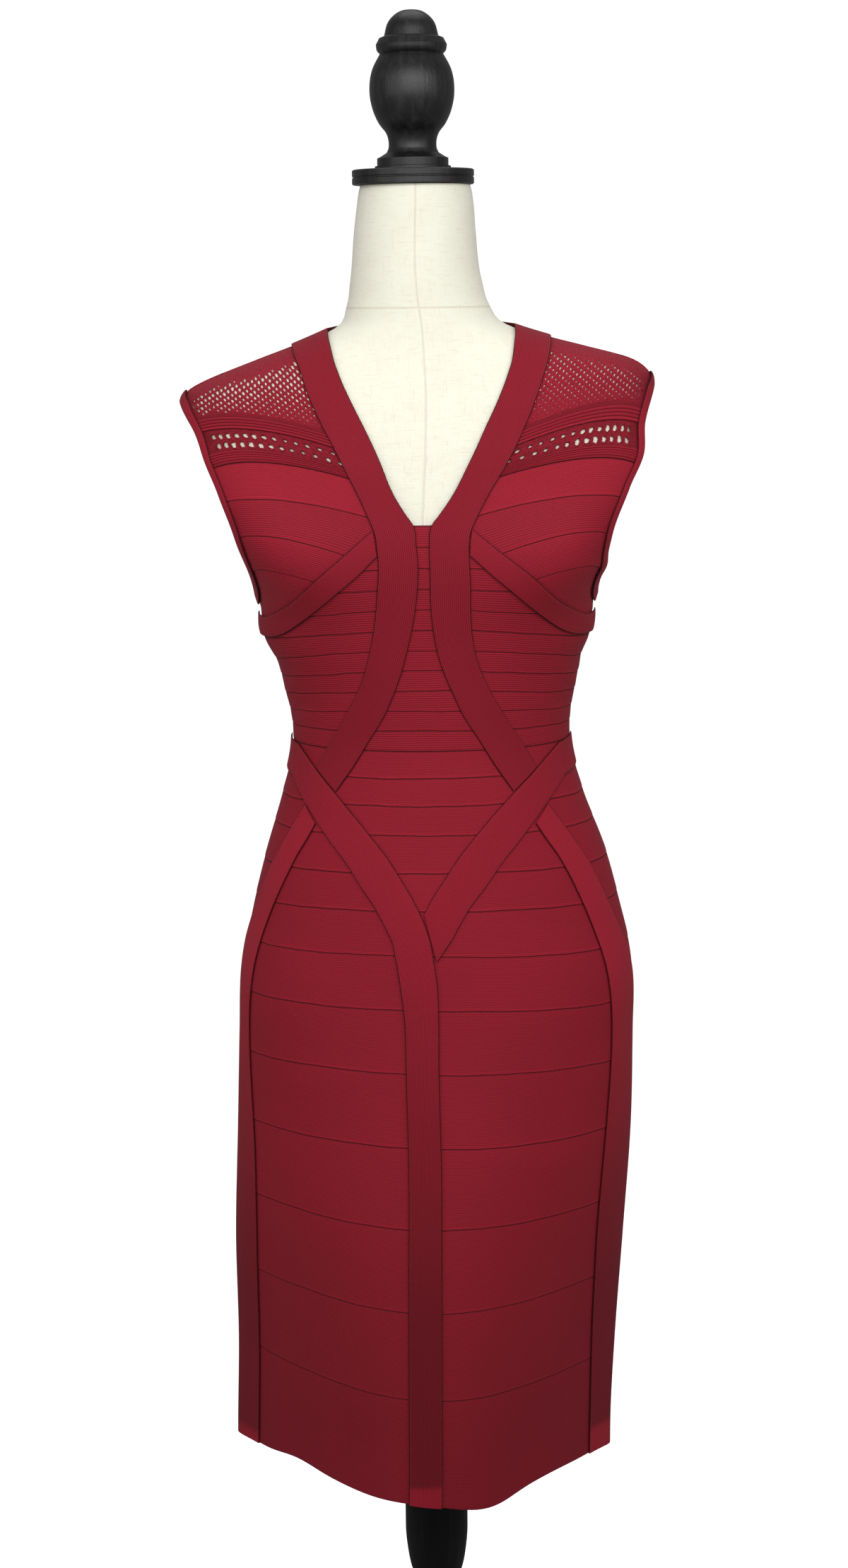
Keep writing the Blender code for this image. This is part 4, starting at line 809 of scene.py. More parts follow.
def rib_knit():
    """Ribs that run along the cloth, each a row of small slanting stitches."""
    tree, given, made = new_group(
        "rib_knit", (("Along", 0.0), ("Across", 0.0), ("Rib", 0.00175), ("Stitch", 0.0010),
                     ("Grain", 420.0), ("Grain Stretch", 3.6)),
        ("Crest", "Stitches", "Height", "Heather"))
    spot = add(tree, "ShaderNodeCombineXYZ", {0: given["Along"], 1: given["Across"]}).outputs[0]
    drift = noise(tree, spot, 1.0, 2.0, 0.5, (38.0, 190.0, 1.0))
    count = calc(tree, "DIVIDE", given["Across"], given["Rib"])
    count = calc(tree, "MULTIPLY_ADD", calc(tree, "SUBTRACT", drift, 0.5), RIB_DRIFT, count)
    wave = calc(tree, "ABSOLUTE", calc(tree, "SINE", calc(tree, "MULTIPLY", count, math.pi)))
    crest = calc(tree, "POWER", wave, 0.75)
    rib = calc(tree, "FLOOR", count)
    slant = calc(tree, "MULTIPLY_ADD", calc(tree, "FRACT", count), RIB_SLANT, rib)
    step = calc(tree, "DIVIDE", given["Along"], given["Stitch"])
    beat = calc(tree, "SINE", calc(tree, "MULTIPLY", calc(tree, "ADD", step, slant), 2 * math.pi))
    stitches = calc(tree, "MULTIPLY_ADD", beat, 0.5, 0.5)
    grain = calc(tree, "MULTIPLY", given["Grain"], given["Grain Stretch"])
    fine = calc(tree, "MULTIPLY", given["Across"], grain)
    coarse = calc(tree, "MULTIPLY", given["Along"], given["Grain"])
    speck = add(tree, "ShaderNodeCombineXYZ", {0: coarse, 1: fine})
    heather = noise(tree, speck.outputs[0], 1.0, 4.0, 0.7)
    height = calc(tree, "MULTIPLY_ADD", calc(tree, "MULTIPLY", stitches, crest), 0.22, crest)
    for label, value in (("Crest", crest), ("Stitches", stitches), ("Height", height),
                         ("Heather", heather)):
        tree.links.new(value, made[label])
    return tree


def sewn_edge():
    """Masks for a sewn edge: the dark line beside it, partly its own dark join and partly
    painted shadow under the lap, dotted where the needle pulls it in, and a painted
    highlight on the lip."""
    tree, given, made = new_group(
        "sewn_edge", (("Along", 0.0), ("Below", 1.0), ("Above", 1.0), ("Line", 0.0007),
                      ("Stitch", 0.0021)),
        ("Line Above", "Line Below", "Lip Highlight"))
    flaw = add(tree, "ShaderNodeCombineXYZ", {0: given["Along"], 1: given["Above"]}).outputs[0]
    uneven = noise(tree, flaw, 1.0, 2.0, 0.5, (420.0, 60.0, 1.0))
    step = calc(tree, "DIVIDE", given["Along"], given["Stitch"])
    beat = calc(tree, "SINE", calc(tree, "MULTIPLY", step, 2 * math.pi))
    uneven = calc(tree, "MULTIPLY_ADD", uneven, LINE_MORE, LINE_LEAST)
    pulled = calc(tree, "MULTIPLY_ADD", beat, NEEDLE_PULL, uneven)
    width = calc(tree, "MULTIPLY", given["Line"], pulled)
    for label, side in (("Line Above", "Above"), ("Line Below", "Below")):
        line = calc(tree, "SUBTRACT", 1.0, calc(tree, "DIVIDE", given[side], width), clamp=True)
        tree.links.new(ramp(tree, line, 0.0, 0.45), made[label])
    # the painted highlight on the lip
    away = calc(tree, "ABSOLUTE", calc(tree, "SUBTRACT", given["Below"], LIP_AT))
    tree.links.new(ramp(tree, away, 0.0002, 0.0012, 1.0, 0.0), made["Lip Highlight"])
    return tree


RIB_KNIT = rib_knit()
SEWN_EDGE = sewn_edge()


def knit(name, rib, stitch=0.0010, seam_line=0.0010, below=0.0, lip=0.22, relief=0.00040,
         depth=0.46, heather=0.36, grain=(420.0, 3.6)):
    """Ribbed stretch knit with the marks of its sewn edges: dark lines, partly painted
    shadow, and a painted highlight on the lip. depth is how much darker the valleys
    between its ribs are painted, as painted shade, and heather how mottled it is."""
    material, tree, surface = new_material(name, 0.72, 0.06, WINE_SHEEN)
    surface.inputs["Sheen Roughness"].default_value = 0.45
    surface.inputs["Specular IOR Level"].default_value = 0.15
    maps = [add(tree, "ShaderNodeUVMap", uv_map=uv).outputs[0] for uv in ("UVMap", "Seam")]
    part, edge = (add(tree, "ShaderNodeSeparateXYZ", {0: uv}).outputs for uv in maps)
    ribs = add(tree, "ShaderNodeGroup", {
        "Along": part[0], "Across": part[1], "Rib": rib, "Stitch": stitch,
        "Grain": grain[0], "Grain Stretch": grain[1]}, node_tree=RIB_KNIT).outputs
    sewn = add(tree, "ShaderNodeGroup", {
        "Along": part[0], "Below": edge[0], "Above": edge[1], "Line": seam_line},
        node_tree=SEWN_EDGE).outputs
    # painted shade: the valleys between the ribs are painted darker, by depth
    lit = calc(tree, "MULTIPLY_ADD", ribs["Crest"], depth, MEAN_LIGHT - MEAN_CREST * depth)
    lit = calc(tree, "MULTIPLY_ADD", ribs["Stitches"], 0.10, lit)
    lit = calc(tree, "ADD", lit, calc(tree, "MULTIPLY_ADD", ribs["Heather"], heather, -heather / 2))
    # painted highlight on the lip over each seam
    lit = calc(tree, "MULTIPLY_ADD", sewn["Lip Highlight"], lip, lit)
    lined = calc(tree, "MULTIPLY_ADD", sewn["Line Below"], below, sewn["Line Above"])
    colour = mix(tree, calc(tree, "MINIMUM", lit, 1.15), WINE_DEEP, WINE_THREAD)
    # the tone attribute carries each piece's own brightness and its painted light and shade
    tone = add(tree, "ShaderNodeAttribute", attribute_name="tone").outputs["Fac"]
    place = add(tree, "ShaderNodeTexCoord").outputs["Object"]
    cloudy = calc(tree, "MULTIPLY_ADD", noise(tree, place, 14.0, 3.0), 0.16, 0.92)
    colour = mix(tree, 1.0, colour, calc(tree, "MULTIPLY", tone, cloudy), "MULTIPLY")
    # painted shadow along each seam's dark line, together with the seam's own dark join
    shadow = calc(tree, "MINIMUM", calc(tree, "MULTIPLY", lined, 0.85), 0.9)
    colour = mix(tree, shadow, colour, SEAM_SHADOW)
    tree.links.new(colour, surface.inputs["Base Color"])
    raised = calc(tree, "MULTIPLY_ADD", ribs["Heather"], heather, ribs["Height"])
    bumped(tree, calc(tree, "MULTIPLY_ADD", lined, -1.1, raised), 0.65, relief, surface)
    return material


STRIP_KNIT = knit("strip_knit", 0.00175)
SKIRT_KNIT = knit("skirt_strip_knit", 0.00145, depth=0.26, relief=0.00028)


def front_turns(base):
    """Columns from side to side over the front."""
    side = side_turn(base - blend(DROOPS, base)[0])
    return np.linspace(-side, side, FRONT_COLUMNS + 1)


skirt = strip_rows(HEM_HEIGHT, SKIRT_STRIPS, front_turns, SKIRT_PUFF)
cloth("front_skirt_strips", "front_skirt", SKIRT_KNIT, skirt)
# outside the middle, the bodice ends under the neck bands and under-bust bands
bodice = strip_rows(WAIST_HEIGHT + GAP, [BODICE_STRIP] * FRONT_STRIPS, front_turns, BODICE_PUFF)
away = np.abs(bodice["turn"])
limit = np.where(away < turn_at(*UNDER_NECK_BAND), UNDER_NECK_BAND[1], underbust_line(away))
middle = away < FRONT_MIDDLE_TURN
over = (bodice["height"] > limit) & ~middle
bodice["height"] = np.where(over, limit, bodice["height"])
whole = ~(over[:-1, :-1] & over[:-1, 1:])
cloth("front_bodice_strips", "front_bodice", STRIP_KNIT, bodice,
      faces=grid_faces(bodice["turn"].shape, whole))


# --- Back skirt and bodice ------------------------------------------------------------
# The back is made of the same strips as the front, in a left and a right half that meet
# in a seam down the middle. The bodice runs up over the shoulder blades in wider strips,
# to the shoulder seams and under the back neck band.
BACK_STRIPS = ((BODICE_STRIP, FRONT_STRIPS), (0.0300, 3), (0.0150, 2))  # width, how many
BACK_SHOULDER_ROWS = (1.3405, 1.3465)
ARMHOLE_BAND = 0.0090     # width of the armhole's binding
SEAM_ALLOWANCE = 0.0060   # how far a panel runs on under a band
NECK_OUTER_X = 0.1040
BACK_NECK_OUTER = 1.3440
BACK_COLUMNS = 76
SIDES = (("left", -1), ("right", 1))


def ridge_height(x):
    """The height of the shoulder seam at a distance x from the middle."""
    low, high = 1.309, 1.380
    for _ in range(40):
        middle = (low + high) / 2
        low, high = (middle, high) if side_width(middle) > x else (low, middle)
    return low


def back_turns(base):
    """Columns from the side, armhole or shoulder seam to centre back."""
    sink = blend(DROOPS, base)[0]
    armhole = 90.0 + armhole_turn(base - 0.75 * sink, ARMHOLE_BAND / 3)
    end = 180.0 - np.degrees(SEAM_HALF / blend(LEVELS, base)[3])
    return np.linspace(max(180.0 - side_turn(base - sink), armhole), end, BACK_COLUMNS + 1)


def top_turns(height):
    """Columns of the last rows, from the shoulder seam at a height to centre back."""
    return np.linspace(180.0 - side_turn(height), last_turns[-1], BACK_COLUMNS + 1)


def between(low, high, share):
    """The value at a share of the way from low to high."""
    return low + (high - low) * share


def turned_over(rows, sign):
    """The same rows on the other side, for a sign of -1."""
    return {key: (sign * value if key == "turn" else value)[:, ::sign].copy()
            for key, value in rows.items()}


back_widths = [width for width, count in BACK_STRIPS for _ in range(count)]
back_rows = strip_rows(WAIST_HEIGHT + GAP, back_widths, back_turns, BODICE_PUFF)
shoulder = ridge_height(NECK_OUTER_X - SEAM_ALLOWANCE)
last_turns, last_heights = back_rows["turn"][-1], back_rows["height"][-1]
rise = np.sin(np.radians(top_turns(shoulder) - 90.0)) ** 2
levels = [(last_turns, last_heights)] + [(top_turns(height), height) for height in BACK_SHOULDER_ROWS]
levels.append((top_turns(shoulder), between(shoulder, BACK_NECK_OUTER + SEAM_ALLOWANCE, rise)))
rows = []
for (turns_a, heights_a), (turns_b, heights_b) in zip(levels, levels[1:]):
    for share in (0.25, 0.5, 0.75, 1.0):
        turns, heights = between(turns_a, turns_b, share), between(heights_a, heights_b, share)
        rows.append((turns, heights, CLOTH, heights, heights - last_heights, 1.0, 1.0))
top = stacked(rows)
back_rows = {key: np.concatenate([value, top[key]]) for key, value in back_rows.items()}
for side, sign in SIDES:
    half = strip_rows(HEM_HEIGHT, SKIRT_STRIPS, lambda base: sign * back_turns(base), SKIRT_PUFF)
    cloth("back_skirt_strips_" + side, "back_skirt_" + side, SKIRT_KNIT, half)
    cloth("back_bodice_strips_" + side, "back_bodice_" + side, STRIP_KNIT,
          turned_over(back_rows, sign))


# --- Bust panels ----------------------------------------------------------------------
# Four strips of the same knit slant over each side of the bust, from the neck band to
# the armhole. The lower ones start from the under-bust band and are cut to a point.
# height at the neck band, midway and at the armhole
RIBS_BOTTOM = (1.2470, 1.2615, 1.2560)
BUST_SEAM_1 = (1.2183, 1.2325, 1.2308)
# start x, then the height at the start, midway and at the armhole
BUST_MIDDLE = (0.0345, 1.2010, 1.2190, 1.2180)
BUST_SEAM_2 = (0.0540, 1.1890, 1.2050, 1.2030)
BUST_SEAM_3 = (0.0760, 1.1690, 1.1790, 1.1730)
BUST_FLOOR = (0.0760, 1.1680, 1.1350, 1.1318)
# the lines that each strip lies between, from the lowest up
BUST_STRIPS = ((BUST_FLOOR, BUST_SEAM_3), (BUST_SEAM_3, BUST_SEAM_2),
               (BUST_SEAM_2, BUST_MIDDLE, BUST_SEAM_1), (BUST_SEAM_1, RIBS_BOTTOM))
BUST_STRIP = 0.028        # about the width of one
BUST_RIBS = 0.03          # how far apart the ribs of one strip and the next are numbered
# painted light and shade: how bright each strip is painted, from the lowest up, to even out the light
# over the bust
BUST_PAINTED_LIGHT_AND_SHADE = (1.16, 1.06, 0.98, 1.14)
BUST_COLUMNS = 64
# inner edge x, inner edge height, outer edge x, outer edge height
NECK_BAND = (
    (0.0735, 1.3560, 0.1025, 1.3475),
    (0.0720, 1.3490, 0.1005, 1.3410),
    (0.0695, 1.3370, 0.0970, 1.3310),
    (0.0650, 1.3240, 0.0925, 1.3180),
    (0.0575, 1.3070, 0.0860, 1.3020),
    (0.0465, 1.2850, 0.0760, 1.2810),
    (0.0350, 1.2610, 0.0635, 1.2575),
    (0.0225, 1.2350, 0.0500, 1.2340),
    (0.0125, 1.2200, 0.0425, 1.2190),
    (0.0070, 1.2125, 0.0380, 1.2090),
    (0.0048, 1.1950, 0.0355, 1.1920),
    (0.0048, 1.1650, 0.0360, 1.1630),
    (0.0060, 1.1470, 0.0370, 1.1420),
    (0.0092, 1.1250, 0.0400, 1.1180),
    (0.0145, 1.1020, 0.0455, 1.0960),
    (0.0225, 1.0795, 0.0540, 1.0750),
    (0.0310, 1.0600, 0.0650, 1.0540),
    (0.0430, 1.0395, 0.0765, 1.0340),
    (0.0560, 1.0170, 0.0830, 1.0215),
    (0.0700, 0.9960, 0.0875, 1.0132),
)


def neck_outer_x(height):
    """The neck band's outer edge at a height over the bust."""
    return blend([(row[3], row[2]) for row in reversed(NECK_BAND)], height)[..., 0]


def three_point(values, t):
    """A parabola through three values at t = 0, 0.5 and 1."""
    start, middle, end = values
    return start * (1 - t) * (1 - 2 * t) + middle * 4 * t * (1 - t) + end * t * (2 * t - 1)


def armhole_front(height):
    """The turn at which the front ends beside the armhole, under its band."""
    return np.minimum(90.0 - armhole_turn(height, ARMHOLE_BAND / 3), side_turn(height))


def bust_line(line, t=np.linspace(0.0, 1.0, BUST_COLUMNS + 1)):
    """Turns and heights of a line from the neck or under-bust band to the armhole. line
    ends with its three heights, and may have its start x before them."""
    heights = line[-3:]
    start_x = line[0] if len(line) > 3 else neck_outer_x(heights[0]) - SEAM_ALLOWANCE
    start = turn_at(start_x, heights[0])
    return np.stack([between(start, armhole_front(heights[2]), t), three_point(heights, t)])


def gapped(line):
    """The same line, lower by the gap between two panels."""
    return line - [[0.0], [GAP]]


def apart(low, high, out=0.0):
    """Distances between two lines of turns and heights."""
    return np.linalg.norm(on_dress(*low, out) - on_dress(*high, out), axis=-1)


rows = []
for k, strip in enumerate(BUST_STRIPS):
    lines = [bust_line(line) for line in strip]
    first, last = k == 0, k == len(BUST_STRIPS) - 1
    if last:
        lines[-1] = gapped(lines[-1])
    widths = apart(lines[0], lines[-1])
    steps = len(lines) - 1
    for place in strip_places(BUST_STRIP) / BUST_STRIP:
        step = min(int(place * steps), steps - 1)
        turns, heights = between(lines[step], lines[step + 1], place * steps - step)
        short = armhole_front(heights[-1]) - turns[-1]
        turns = turns + short * np.linspace(0.0, 1.0, len(turns)) ** 4
        wave = 0.0 if first else (1 - place) * wander(turns, k + 20)
        wave = wave + (0.0 if last else place * wander(turns, k + 21))
        out = CLOTH if first else strip_out(place * widths, (1 - place) * widths, BODICE_PUFF * 0.7)
        across = (place - 1) * widths if first else BUST_RIBS * k + place * widths.mean()
        rows.append((turns, heights + wave, out, across, place * widths, (1 - place) * widths,
                     BUST_PAINTED_LIGHT_AND_SHADE[k]))
bust = stacked(rows)
for side, sign in SIDES:
    cloth("bust_strips_" + side, "bust_panel_" + side, STRIP_KNIT, turned_over(bust, sign))


# --- Rib bands ------------------------------------------------------------------------
# Over and under the openwork runs a band of four thick cords, knitted in one with a
# plain strip on the side towards the net or the bust. The cords are round and close.
# height at the neck band, midway and at the armhole
HOLES_BOTTOM = (1.2540, 1.2702, 1.2655)
HOLES_TOP = (1.2700, 1.2872, 1.2842)
NET_BOTTOM = (1.2835, 1.3005, 1.2960)
NO_LINE = 0.0001          # a seam line too thin to show
CORDS = 4
CORD_POINTS = 10          # rows of the mesh over one cord
CORD_RISE = 0.0010
CORD_PAINTED_SHADE = 0.56         # painted shade between the cords, and painted light that rises on them
CORD_PAINTED_LIGHT = 0.50
PLAIN_SHARE = 0.20        # the plain strip's share of the band, and its rise
PLAIN_RISE = 0.00025


def corded(lower, upper, plain_on_top):
    """A band of round cords between two lines, with its plain strip."""
    low, high = bust_line(lower), gapped(bust_line(upper))
    width = apart(low, high)
    cords = 1.0 - PLAIN_SHARE
    places = np.concatenate([np.linspace(0.0, cords, CORDS * CORD_POINTS + 1),
                             np.linspace(cords, 1.0, 6)[1:]])
    part = (places / cords * CORDS) % 1.0
    round_rise = CORD_RISE * np.sqrt(np.maximum(1 - (2 * part - 1) ** 2, 0.0))
    lifts = np.where(places <= cords, round_rise, PLAIN_RISE)
    if not plain_on_top:
        places, lifts = 1.0 - places[::-1], lifts[::-1]
    from_start = np.arange(len(width))
    ends = np.minimum(1.0, np.minimum(from_start, from_start[::-1]) / 3)
    # the tone paints shade between the cords and light on their crests
    return stacked([(*between(low, high, place), CLOTH + lift * ends, place * width.mean(),
                     place * width, (1 - place) * width,
                     CORD_PAINTED_SHADE + CORD_PAINTED_LIGHT * min(lift / CORD_RISE, 1.0) ** 0.7)
                    for place, lift in zip(places, lifts)])


CORD_KNIT = knit("cord_knit", 0.0009, stitch=0.0015, relief=0.0003, depth=0.30, seam_line=NO_LINE)
for level, lower, upper, plain_on_top, cut in (
        ("lower_", RIBS_BOTTOM, HOLES_BOTTOM, False, (0.113, 0.0146, 0.00135)),
        ("upper_", HOLES_TOP, NET_BOTTOM, True, (0.117, 0.0195, 0.00180))):
    for side, sign in SIDES:
        cloth("rib_cords_" + level + side, "rib_band_" + level + side, CORD_KNIT,
              turned_over(corded(lower, upper, plain_on_top), sign))


# --- Openwork bands -------------------------------------------------------------------
# Two staggered rows of holes, knitted by crossing the threads between two cord bands.
# The threads are drawn thick round each hole, so its rim stands up, and cross in knots.
HOLES_IN_ROW = 14
HOLE_SIDES = 15
HOLE_ROWS = ((0.26, 0.255, 0.150), (0.69, 0.235, 0.130))  # place, half length, half height
ROW_SHIFT = 0.28          # shift of the upper row, and start of the rows, in holes
FIRST_HOLE = 0.65
LAST_HOLE = 0.90          # share of the band's length where the holes end
RIM_RISE = 0.0007
RIM_PAINTED_LIGHT = 350.0          # painted light: how much brighter a rim is painted, for each metre that it stands out
NET_IN = 0.0003
OPENWORK_COLUMNS = 72
OPENWORK_WIDE = 0.0128
OPENWORK_TONE = 0.80
RIPPLE = 0.0006           # how far its ribs ripple, and how often over its length
RIPPLES = 190.0
HOLE_JITTER = 0.05
HOLE_STAR = 0.16          # how far a hole's five corners reach out, and how ragged it is
HOLE_RAGGED = 0.10
HOLE_LEAN = 0.18


def pierced(name, node, material, outline, holes, rims, place, out, filling=()):
    """A wall with holes. outline and holes are rings of points (u, v); rims holds, for the
    edge of a hole and each further ring round it, how much larger it is and how far it
    stands out. place(points) gives their turns, heights, places along and across the
    knit, and tones. filling is points of the wall that is between the holes."""
    points, edges, lifts, middles = [Vector(p) for p in filling], [], [0.0] * len(filling), []

    def ring_of(ring, lift):
        first = len(points)
        points.extend(Vector(p) for p in ring)
        lifts.extend([lift] * len(ring))
        edges.extend((first + i, first + (i + 1) % len(ring)) for i in range(len(ring)))

    ring_of(outline, 0.0)
    for ring in holes:
        ring = np.array(ring)
        centre = ring.mean(0)
        middles.append((centre, ring))
        ring_of(ring.tolist(), rims[0][1])
        for larger, lift in rims[1:]:
            ring_of((centre + (ring - centre) * larger).tolist(), lift)
    made = delaunay_2d_cdt(points, edges, [], 1, 1e-7)
    spots = np.array([(p.x, p.y) for p in made[0]])
    source = [ids[0] if ids else 0 for ids in made[3]]
    lift = np.array([lifts[i] for i in source])
    faces = np.array([face for face in made[2] if len(face) == 3])
    centres = spots[faces].mean(1)
    gone = np.zeros(len(faces), bool)
    for centre, ring in middles:
        near = np.nonzero(np.abs(centres - centre).max(1) < np.abs(ring - centre).max() * 1.01)[0]
        nxt = np.roll(ring, -1, 0)
        for f in near:
            p = centres[f]
            cross = ((nxt[:, 0] - ring[:, 0]) * (p[1] - ring[:, 1])
                     - (nxt[:, 1] - ring[:, 1]) * (p[0] - ring[:, 0]))
            gone[f] |= bool((cross > 0).all() or (cross < 0).all())
    turns, heights, along, across, tone = place(spots)
    # painted light: rims that stand out are painted brighter
    net = {"turn": turns, "height": heights, "out": out + lift, "along": along, "across": across,
           "below": 1.0, "above": 1.0, "tone": tone + lift * RIM_PAINTED_LIGHT}
    cloth(name, node, material, net, NET_IN, faces[~gone])


def openwork_place(sign):
    """Where the points of an openwork band lie. They are given as shares of its length
    and of its width."""
    low, high = bust_line(HOLES_BOTTOM), gapped(bust_line(HOLES_TOP))
    length = lengths_along(on_dress(*low, 0.0))[-1]

    def place(spots):
        step = np.clip(spots[:, 0], 0.0, 1.0) * BUST_COLUMNS
        grid = np.arange(BUST_COLUMNS + 1)
        bottom, top = (np.array([np.interp(step, grid, row) for row in line]) for line in (low, high))
        turn, height = between(bottom, top, spots[:, 1])
        across = spots[:, 1] * OPENWORK_WIDE + np.sin(spots[:, 0] * RIPPLES) * RIPPLE
        return sign * turn, height, spots[:, 0] * length, across, OPENWORK_TONE

    return place


def openwork_holes(seed):
    """Rings round the holes: ragged stars that lean towards the other row's. The ones
    near the neck band are smaller."""
    chance = np.random.default_rng(seed)
    pitch = 1.0 / (HOLES_IN_ROW + 1.0)
    holes = []
    for row, (across, half_long, half_high) in enumerate(HOLE_ROWS):
        for i in range(HOLES_IN_ROW):
            jitter = chance.uniform(-HOLE_JITTER, HOLE_JITTER)
            along = pitch * (i + FIRST_HOLE + ROW_SHIFT * row + jitter)
            if along > LAST_HOLE:
                continue
            angles = np.radians(90 + 360 * np.arange(HOLE_SIDES) / HOLE_SIDES)
            sines, cosines = np.sin(angles), np.cos(angles)
            star = HOLE_STAR * np.cos(5 * angles + chance.uniform(-1.0, 1.0))
            ragged = 1.0 + star + chance.uniform(-HOLE_RAGGED, HOLE_RAGGED, HOLE_SIDES)
            size = chance.uniform(0.90, 1.12) * (0.66 + 0.34 * np.clip((along - 0.34) / 0.16, 0.0, 1.0))
            lean = HOLE_LEAN * sines * (1 if row else -1)
            holes.append(np.stack([along + half_long * pitch * size * ragged * (cosines + lean),
                                   across + half_high * size * ragged * sines], -1))
    return holes


outline = [(i / OPENWORK_COLUMNS, 0.0) for i in range(OPENWORK_COLUMNS)] + [(1.0, 0.0)]
outline += [(1 - i / OPENWORK_COLUMNS, 1.0) for i in range(OPENWORK_COLUMNS)] + [(0.0, 1.0)]
OPEN_KNIT = knit("open_knit", 0.0009, depth=0.30, heather=2.4, grain=(620.0, 1.2), seam_line=NO_LINE)
for side, sign in SIDES:
    pierced("openwork_net_" + side, "openwork_" + side, OPEN_KNIT, outline, openwork_holes(5 + sign),
            ((1.0, 0.0002), (1.18, RIM_RISE), (1.44, 0.0001)), openwork_place(sign), 0.0009)


# --- Net yokes ------------------------------------------------------------------------
# The yoke is a net of slanting eyelets, stretched from the cord band up to the shoulder
# seam, where the knit is close. The pull of the shoulder lines the eyelets up on two
# slants and opens them most in the yoke's middle.
EYELET_STEPS = ((0.00245, -0.00205), (0.00330, 0.00330))  # x and height, to its neighbours
EYELET_LONG = 0.00172
EYELET_WIDE = 0.00078
EYELET_LEAN = math.radians(58)
EYELET_SIDES = 10
EYELET_JITTER = 0.00018
LONELY = 0.0034           # a point of the plain net is this far from every eyelet
NET_TONE = 0.98
YOKE_WIDE = 0.100
YOKE_HIGH = 0.064
CLOSE_TOP = 0.0085        # width of the close knit along the shoulder seam
NET_UNDER = 0.0045        # the net's edge that lies under the neck and armhole bands
NET_FOOT = 0.0022
SHARE_STEP = 0.001        # step over which the yoke's slope is measured
YOKE_STEPS = 60           # points along each edge


def yoke_spot(u, v):
    """Turn and height at shares u across and v up the yoke, from its four edges."""
    neck_ridge = ridge_height(NECK_OUTER_X - SEAM_ALLOWANCE)
    rise = ARMHOLE_RISE + ARMHOLE_BAND / 3
    tip = ARMHOLE_HEIGHT + rise

    def bottom(t):
        return bust_line(NET_BOTTOM, t=t)

    def top(t):
        heights = between(neck_ridge, tip, t)
        return np.stack([side_turn(heights), heights])

    def left(t):
        heights = between(NET_BOTTOM[0], neck_ridge, t)
        turns = turn_at(neck_outer_x(heights) - SEAM_ALLOWANCE, heights)
        end = turn_at(neck_outer_x(neck_ridge) - SEAM_ALLOWANCE, neck_ridge)
        return np.stack([turns + (side_turn(neck_ridge) - end) * t ** 12, heights])

    def right(t):
        start = math.asin((NET_BOTTOM[2] - ARMHOLE_HEIGHT) / rise)
        heights = ARMHOLE_HEIGHT + rise * np.sin(start + (math.pi / 2 - start) * t)
        return np.stack([armhole_front(heights), heights])

    zero, one = np.zeros_like(u), np.ones_like(u)
    spot = (1 - v) * bottom(u) + v * top(u) + (1 - u) * left(v) + u * right(v)
    spot -= (1 - u) * (1 - v) * bottom(zero) + u * (1 - v) * bottom(one)
    return spot - (1 - u) * v * top(zero) - u * v * top(one)


def yoke_front(shares):
    """x and z of places given as shares across and up the yoke."""
    turn, height = yoke_spot(shares[..., 0], shares[..., 1])
    return on_dress(turn, height, 0.0)[..., ::2]


def yoke_slopes(shares):
    """How x and z change with each share."""
    ways = np.array(((SHARE_STEP, 0.0), (0.0, SHARE_STEP)))
    return np.stack([(yoke_front(shares + way) - yoke_front(shares - way)) / (2 * SHARE_STEP)
                     for way in ways], -1)


def net_place(sign):
    """Where the points of a yoke lie. They are given in metres on the flat net."""
    def place(spots):
        turn, height = yoke_spot(*np.clip(spots / (YOKE_WIDE, YOKE_HIGH), 0.0, 1.0).T)
        return sign * turn, height, spots[:, 0], spots[:, 1], NET_TONE

    return place


